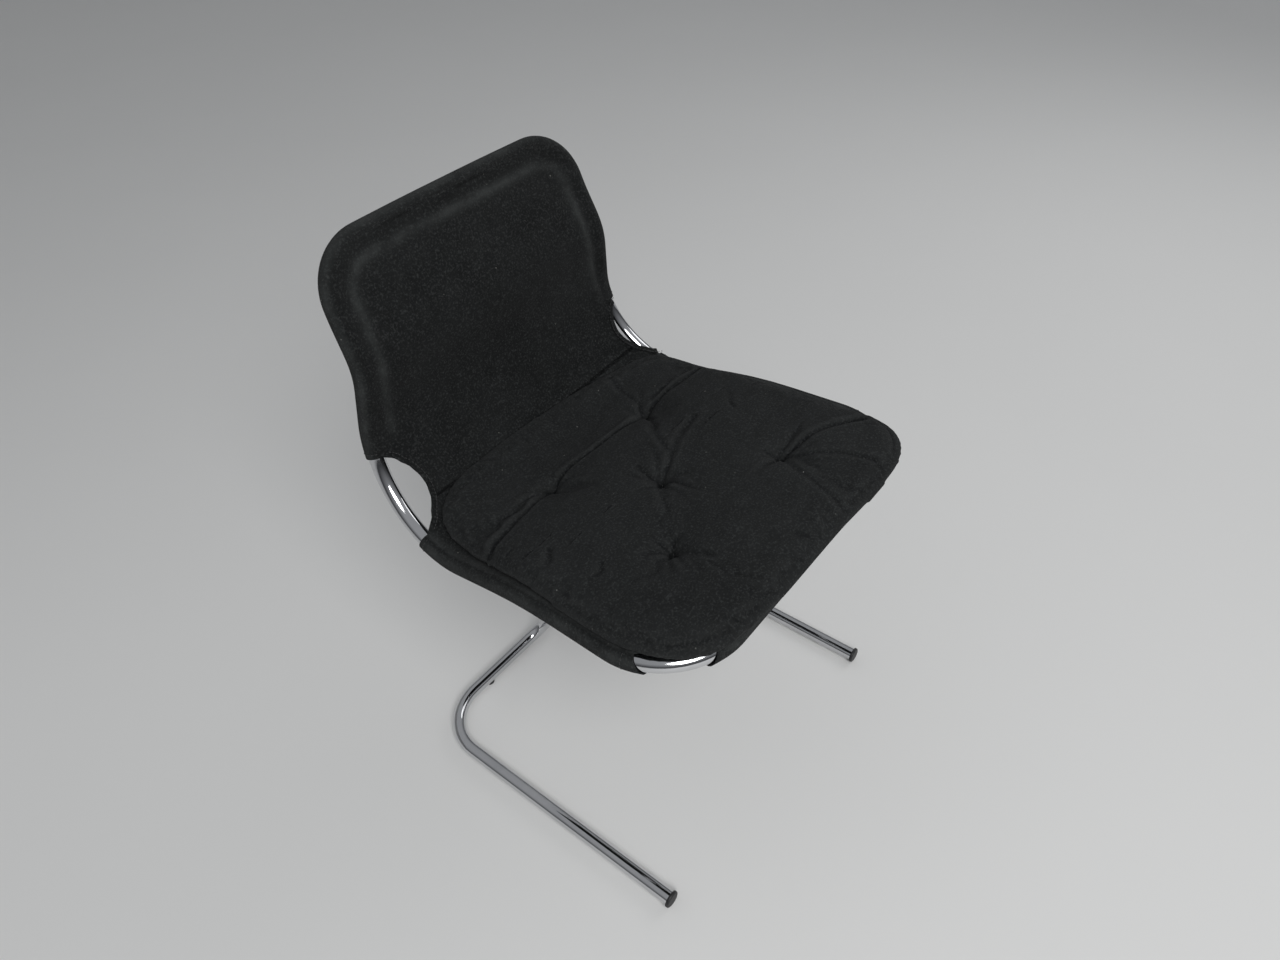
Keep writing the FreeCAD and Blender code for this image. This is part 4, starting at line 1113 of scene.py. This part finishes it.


# Materials, built from dictionaries of colours and amounts or from colours given in the calls.
class Finish:
    # a material with short calls for its nodes
    def __init__(self, name, **sockets):
        self.material = bpy.data.materials.new(name)
        self.material.use_nodes = True
        self.nodes = self.material.node_tree.nodes
        self.links = self.material.node_tree.links
        self.shader = self.nodes["Principled BSDF"]
        for socket, value in sockets.items():
            self.shader.inputs[socket.replace("_", " ")].default_value = value

    def add(self, kind, inputs=(), **settings):
        node = self.nodes.new(kind)
        for key, value in settings.items():
            setattr(node, key, value)
        for socket, value in dict(inputs).items():
            if isinstance(value, bpy.types.NodeSocket):
                self.links.new(value, node.inputs[socket])
            else:
                node.inputs[socket].default_value = value
        return node

    def field(self, kind, place, output, **inputs):
        # one output of a texture, with its inputs by name
        named = {key.replace("_", " "): value for key, value in inputs.items()}
        return self.add(kind, dict(named, Vector=place)).outputs[output]

    def objectPlace(self):
        return self.add("ShaderNodeTexCoord").outputs["Object"]

    def clothLay(self):
        return self.add("ShaderNodeUVMap", uv_map="lay").outputs["UV"]

    def noise(self, place, scale, detail=3.0, roughness=0.5, stretch=None):
        if stretch:
            place = self.field("ShaderNodeMapping", place, "Vector", Scale=stretch)
        return self.field("ShaderNodeTexNoise", place, "Fac", Scale=scale, Detail=detail, Roughness=roughness)

    def cells(self, place, scale):
        return self.field("ShaderNodeTexVoronoi", place, "Distance", Scale=scale)

    def span(self, value, low, high, toLow=0.0, toHigh=1.0):
        node = self.add("ShaderNodeMapRange", {"Value": value, "From Min": low, "From Max": high,
                                               "To Min": toLow, "To Max": toHigh})
        return node.outputs["Result"]

    def sums(self, operation, first, second):
        node = self.add("ShaderNodeMath", {0: first, 1: second}, operation=operation)
        return node.outputs["Value"]

    def times(self, first, second):
        return self.sums("MULTIPLY", first, second)

    def blend(self, share, first, second):
        node = self.add("ShaderNodeMix", {0: share, 6: first, 7: second}, data_type="RGBA")
        return node.outputs[2]

    def colour(self, value):
        self.links.new(value, self.shader.inputs["Base Color"])

    def roughness(self, value):
        self.links.new(value, self.shader.inputs["Roughness"])

    def bump(self, height, distance, strength=1.0):
        node = self.add("ShaderNodeBump", {"Height": height, "Distance": distance, "Strength": strength})
        self.links.new(node.outputs["Normal"], self.shader.inputs["Normal"])


canvasLook = {
    "dark": (0.0050, 0.0055, 0.0056, 1),
    "faded": (0.0185, 0.0198, 0.0200, 1),
    # pale canvas for rubbed wear and for painted highlights
    "wornAndHighlight": (0.058, 0.062, 0.061, 1),
    "fibre": (0.054, 0.057, 0.057, 1),
    "lint": (0.30, 0.30, 0.28, 1),
    "sheen": 0.035,
    "shine": 0.10,
    "threadPitch": 0.00085,
    "roughness": (0.80, 0.95),
    "bumpHeight": 0.00022,
}


cushionLook = dict(canvasLook, dark=(0.0040, 0.0044, 0.0047, 1), faded=(0.0150, 0.0162, 0.0166, 1),
                   wornAndHighlight=(0.070, 0.073, 0.072, 1), fibre=(0.050, 0.053, 0.053, 1), sheen=0.02)


def weave(finish, place, pitch):
    # plain weave: two rows of threads, over and under each other
    scale = 0.31416 / pitch
    inputs = {"Vector": place, "Scale": scale, "Distortion": 0.6, "Detail": 1.0, "Detail Scale": 2.0}
    across, along = (finish.add("ShaderNodeTexWave", inputs, wave_type="BANDS",
                                bands_direction=way).outputs["Fac"] for way in "XY")
    return finish.times(finish.sums("ADD", across, 0.35), finish.sums("ADD", along, 0.35))


def makeCanvas(name, onCover, look):
    finish = Finish(name, Sheen_Weight=look["sheen"], Sheen_Roughness=0.45,
                    Specular_IOR_Level=look["shine"])
    body = finish.objectPlace()
    place = finish.clothLay() if onCover else body
    threads = weave(finish, place, look["threadPitch"])
    patches = finish.span(finish.noise(body, 7.0, 4.0, 0.6), 0.36, 0.68)
    mottle = finish.span(finish.noise(body, 46.0, 3.0, 0.6), 0.30, 0.74)
    slubs = finish.span(finish.noise(place, 160.0, 2.0, 0.6, (1.0, 7.0, 1.0)), 0.44, 0.80)
    warpSlubs = finish.span(finish.noise(place, 170.0, 2.0, 0.6, (7.0, 1.0, 1.0)), 0.46, 0.82)
    share = finish.times(patches, 0.42)
    share = finish.sums("ADD", share, finish.times(mottle, 0.28))
    share = finish.sums("ADD", share, finish.times(finish.sums("ADD", slubs, warpSlubs), 0.26))
    share = finish.times(share, finish.span(threads, 0.1, 1.5, 0.72, 1.22))
    base = finish.blend(share, look["dark"], look["faded"])
    if onCover:
        # lighter where the cover's mask says: rubbing wear on the sleeves, painted highlights on the back's
        # ridge and the seat's edges
        wornAndHighlight = finish.add("ShaderNodeAttribute", attribute_name="wearAndHighlight").outputs["Fac"]
        rubbed = finish.span(finish.noise(body, 30.0, 4.0, 0.7), 0.34, 0.72, 0.15, 0.85)
        wornAndHighlight = finish.times(wornAndHighlight, rubbed)
        base = finish.blend(finish.times(wornAndHighlight, 0.8), base, look["wornAndHighlight"])
    else:
        # painted highlight: the raised, convex parts of the cushion are lighter, and the creases stay darker
        paintedRidgeHighlight = finish.span(finish.add("ShaderNodeNewGeometry").outputs["Pointiness"], 0.47, 0.56)
        base = finish.blend(finish.times(paintedRidgeHighlight, 0.34), base, look["wornAndHighlight"])
    fibres = finish.span(finish.noise(body, 430.0, 2.0, 0.65), 0.50, 0.72)
    base = finish.blend(finish.times(fibres, 0.62), base, look["fibre"])
    specks = finish.cells(body, 55.0)
    fluff = finish.noise(body, 380.0, 2.0, 0.5)
    lint = finish.times(finish.span(specks, 0.060, 0.035), finish.span(fluff, 0.50, 0.62))
    finish.colour(finish.blend(finish.times(lint, 0.65), base, look["lint"]))
    low, high = look["roughness"]
    finish.roughness(finish.span(mottle, 0.0, 1.0, high, low))
    relief = finish.sums("ADD", threads, finish.times(slubs, 0.9))
    finish.bump(relief, look["bumpHeight"], 0.8)
    return finish.material


chromeLook = {
    "plate": (0.64, 0.645, 0.66, 1),
    "haze": (0.50, 0.505, 0.52, 1),
    "pit": (0.16, 0.135, 0.115, 1),
    "roughness": (0.045, 0.17),
}


def makeChrome(name, look, ripple=0.00006, pits=1.0):
    finish = Finish(name, Metallic=1.0, IOR=2.4)
    place = finish.objectPlace()
    haze = finish.span(finish.noise(place, 14.0, 5.0, 0.62), 0.42, 0.72)
    rub = finish.span(finish.noise(place, 95.0, 4.0, 0.65, (1.0, 0.35, 1.0)), 0.50, 0.78)
    cells = finish.cells(place, 190.0)
    patch = finish.span(finish.noise(place, 22.0, 3.0, 0.6), 0.56, 0.70)
    pit = finish.times(finish.span(cells, 0.16, 0.07), patch)
    pit = finish.times(pit, pits)
    shade = finish.blend(finish.times(haze, 0.55), look["plate"], look["haze"])
    finish.colour(finish.blend(finish.times(pit, 0.8), shade, look["pit"]))
    low, high = look["roughness"]
    marred = finish.sums("ADD", finish.times(haze, 0.6), finish.times(rub, 0.5))
    rough = finish.span(marred, 0.0, 1.1, low, high)
    finish.roughness(finish.sums("ADD", rough, finish.times(pit, 0.3)))
    waves = finish.noise(place, 38.0, 2.0, 0.4)
    finish.bump(finish.sums("SUBTRACT", waves, finish.times(pit, 0.5)), ripple, 1.0)
    return finish.material


def makeWeldChrome():
    finish = Finish("Plated weld", Metallic=1.0)
    place = finish.objectPlace()
    beads = finish.noise(place, 420.0, 3.0, 0.6)
    finish.colour(finish.blend(finish.span(beads, 0.35, 0.7), (0.36, 0.34, 0.33, 1), (0.58, 0.58, 0.60, 1)))
    finish.roughness(finish.span(beads, 0.3, 0.7, 0.40, 0.18))
    finish.bump(beads, 0.0004, 1.0)
    return finish.material


def makeSteel(name, pale, dark, rough):
    finish = Finish(name, Metallic=1.0)
    place = finish.objectPlace()
    drawn = finish.noise(place, 260.0, 3.0, 0.6, (1.0, 0.12, 0.12))
    cloud = finish.span(finish.noise(place, 60.0, 3.0, 0.6), 0.3, 0.7)
    finish.colour(finish.blend(finish.times(cloud, 0.8), pale, dark))
    finish.roughness(finish.span(drawn, 0.3, 0.7, rough, rough + 0.16))
    finish.bump(drawn, 0.00004, 1.0)
    return finish.material


def makePlastic():
    finish = Finish("Black plastic", Specular_IOR_Level=0.45)
    place = finish.objectPlace()
    grain = finish.noise(place, 900.0, 3.0, 0.6)
    dust = finish.span(finish.noise(place, 75.0, 4.0, 0.65), 0.50, 0.74)
    finish.colour(finish.blend(finish.times(dust, 0.55), (0.013, 0.013, 0.014, 1),
                               (0.060, 0.058, 0.055, 1)))
    finish.roughness(finish.span(grain, 0.3, 0.7, 0.38, 0.58))
    finish.bump(grain, 0.00008, 1.0)
    return finish.material


def makeThread(name, dark, pale):
    finish = Finish(name, Sheen_Weight=0.25, Specular_IOR_Level=0.3, Roughness=0.8)
    place = finish.objectPlace()
    twist = finish.add("ShaderNodeTexWave", {"Vector": place, "Scale": 620.0, "Distortion": 1.5},
                       wave_type="BANDS", bands_direction="DIAGONAL").outputs["Fac"]
    finish.colour(finish.blend(twist, dark, pale))
    finish.bump(twist, 0.0002, 0.6)
    return finish.material


coverCanvas = makeCanvas("Faded black canvas", True, canvasLook)
plainCanvas = makeCanvas("Cushion canvas", False, cushionLook)
bindingCanvas = makeCanvas("Folded canvas edge", False, dict(canvasLook, faded=(0.0150, 0.0160, 0.0160, 1)))
chromePlate = makeChrome("Chrome plate", chromeLook)
saddleChrome = makeChrome("Saddle chrome", dict(chromeLook, roughness=(0.08, 0.22)), 0.0001, 0.5)
weldChrome = makeWeldChrome()
bareSteel = makeSteel("Drawn steel", (0.52, 0.52, 0.52, 1), (0.34, 0.33, 0.32, 1), 0.32)
zincSteel = makeSteel("Zinc plate", (0.66, 0.66, 0.64, 1), (0.50, 0.50, 0.46, 1), 0.24)
blackPlastic = makePlastic()
blackThread = makeThread("Black thread", (0.012, 0.012, 0.012, 1), (0.045, 0.045, 0.045, 1))
finishBySlot = {
    "chromed_tube": chromePlate,
    "chromed_weld": weldChrome,
    "chromed_saddle": saddleChrome,
    "bare_steel": bareSteel,
    "zinc_steel": zincSteel,
    "black_plastic": blackPlastic,
    "black_canvas": coverCanvas,
    "cushion_canvas": plainCanvas,
    "foam": plainCanvas,
    "tie_thread": blackThread,
}


def paint(piece, material):
    if not piece.data.materials:
        piece.data.materials.append(None)
    for slot in piece.material_slots:
        slot.link = "OBJECT"
        slot.material = material


slotOfNode = {part["node"]: part["material_slot"] for part in frame["record"]["subparts"]}
for nodeName, node in frame["nodes"].items():
    paint(node, finishBySlot[slotOfNode[nodeName]])
for piece in (backCanvas, seatCanvas):
    paint(piece, coverCanvas)
for piece in bindings:
    paint(piece, bindingCanvas)
for piece in (seatCushion, cushionSeam):
    paint(piece, plainCanvas)
for piece in (coverStitches, tuftStitches):
    paint(piece, blackThread)
print("finishes made")

# Floor, light and camera.
stageLook = {
    "floorColour": (0.80, 0.80, 0.79, 1),
    "worldTop": (0.95, 0.97, 1.0, 1),
    "worldSide": (0.16, 0.165, 0.175, 1),
    "worldStrength": 0.36,
    "keyPower": 62.0,
    "keyPlace": (-1.3, -2.0, 2.6),
    "keySize": 1.8,
    "fillPower": 9.0,
    "fillPlace": (2.2, -0.6, 1.9),
    "fillSize": 1.6,
}


def makeFloor():
    # a wide floor that turns up into a backdrop far behind
    profile = [(-6.0, 0.0), (6.0, 0.0)]
    for angle in range(0, 91, 6):
        a = math.radians(angle)
        profile.append((6.0 + 1.5 * math.sin(a), 1.5 - 1.5 * math.cos(a)))
    profile.append((7.5, 6.0))
    count = len(profile)
    vertices = [(x, y, z) for x in (-8.0, 8.0) for y, z in profile]
    faces = [(a, a + count, a + count + 1, a + 1) for a in range(count - 1)]
    floor = newMesh("floor", vertices, faces)
    finish = Finish("Pale floor", Specular_IOR_Level=0.1)
    cloud = finish.noise(finish.objectPlace(), 1.4, 4.0, 0.6)
    pale = stageLook["floorColour"]
    finish.colour(finish.blend(cloud, pale, tuple(value * 0.965 for value in pale[:3]) + (1,)))
    finish.shader.inputs["Roughness"].default_value = 0.9
    paint(floor, finish.material)


def makeLamp(name, place, power, size, aim=(0.0, 0.0, 0.4)):
    lamp = bpy.data.lights.new(name, "AREA")
    lamp.shape = "DISK"
    lamp.size = size
    lamp.energy = power
    item = bpy.data.objects.new(name, lamp)
    scene.collection.objects.link(item)
    item.location = place
    item.rotation_euler = (Vector(aim) - Vector(place)).to_track_quat("-Z", "Y").to_euler()


def makeWorld():
    world = bpy.data.worlds.new("Studio")
    scene.world = world
    world.use_nodes = True
    nodes = world.node_tree.nodes
    links = world.node_tree.links
    place = nodes.new("ShaderNodeTexCoord")
    split = nodes.new("ShaderNodeSeparateXYZ")
    links.new(place.outputs["Generated"], split.inputs[0])
    ramp = nodes.new("ShaderNodeValToRGB")
    links.new(split.outputs["Z"], ramp.inputs["Fac"])
    ramp.color_ramp.elements[0].position = 0.05
    ramp.color_ramp.elements[0].color = stageLook["worldSide"]
    ramp.color_ramp.elements[1].position = 0.62
    ramp.color_ramp.elements[1].color = stageLook["worldTop"]
    background = nodes["Background"]
    links.new(ramp.outputs["Color"], background.inputs["Color"])
    background.inputs["Strength"].default_value = stageLook["worldStrength"]


cameraSizes = {
    "place": (-0.6003, -0.5368, 1.1425),
    "heading": 0.849192,
    "pitch": -0.727337,
    "roll": -0.0799,
    "lens": 36 * 922.13 / 1280,
}


def makeCamera():
    heading, pitch, roll = (cameraSizes[name] for name in ("heading", "pitch", "roll"))
    flat = math.cos(pitch)
    ahead = Vector((math.sin(heading) * flat, math.cos(heading) * flat, math.sin(pitch)))
    level = Vector((math.cos(heading), -math.sin(heading), 0.0))
    up = level.cross(ahead)
    right = level * math.cos(roll) + up * math.sin(roll)
    upright = up * math.cos(roll) - level * math.sin(roll)
    data = bpy.data.cameras.new("Photo camera")
    data.sensor_width = 36
    data.lens = cameraSizes["lens"]
    camera = bpy.data.objects.new("Photo camera", data)
    scene.collection.objects.link(camera)
    turned = Matrix((right, upright, -ahead)).transposed().to_4x4()
    camera.matrix_world = Matrix.Translation(cameraSizes["place"]) @ turned
    scene.camera = camera


makeFloor()
makeWorld()
makeLamp("Key", stageLook["keyPlace"], stageLook["keyPower"], stageLook["keySize"])
makeLamp("Fill", stageLook["fillPlace"], stageLook["fillPower"], stageLook["fillSize"])
makeCamera()
scene.view_settings.view_transform = "Standard"
print("stage set")
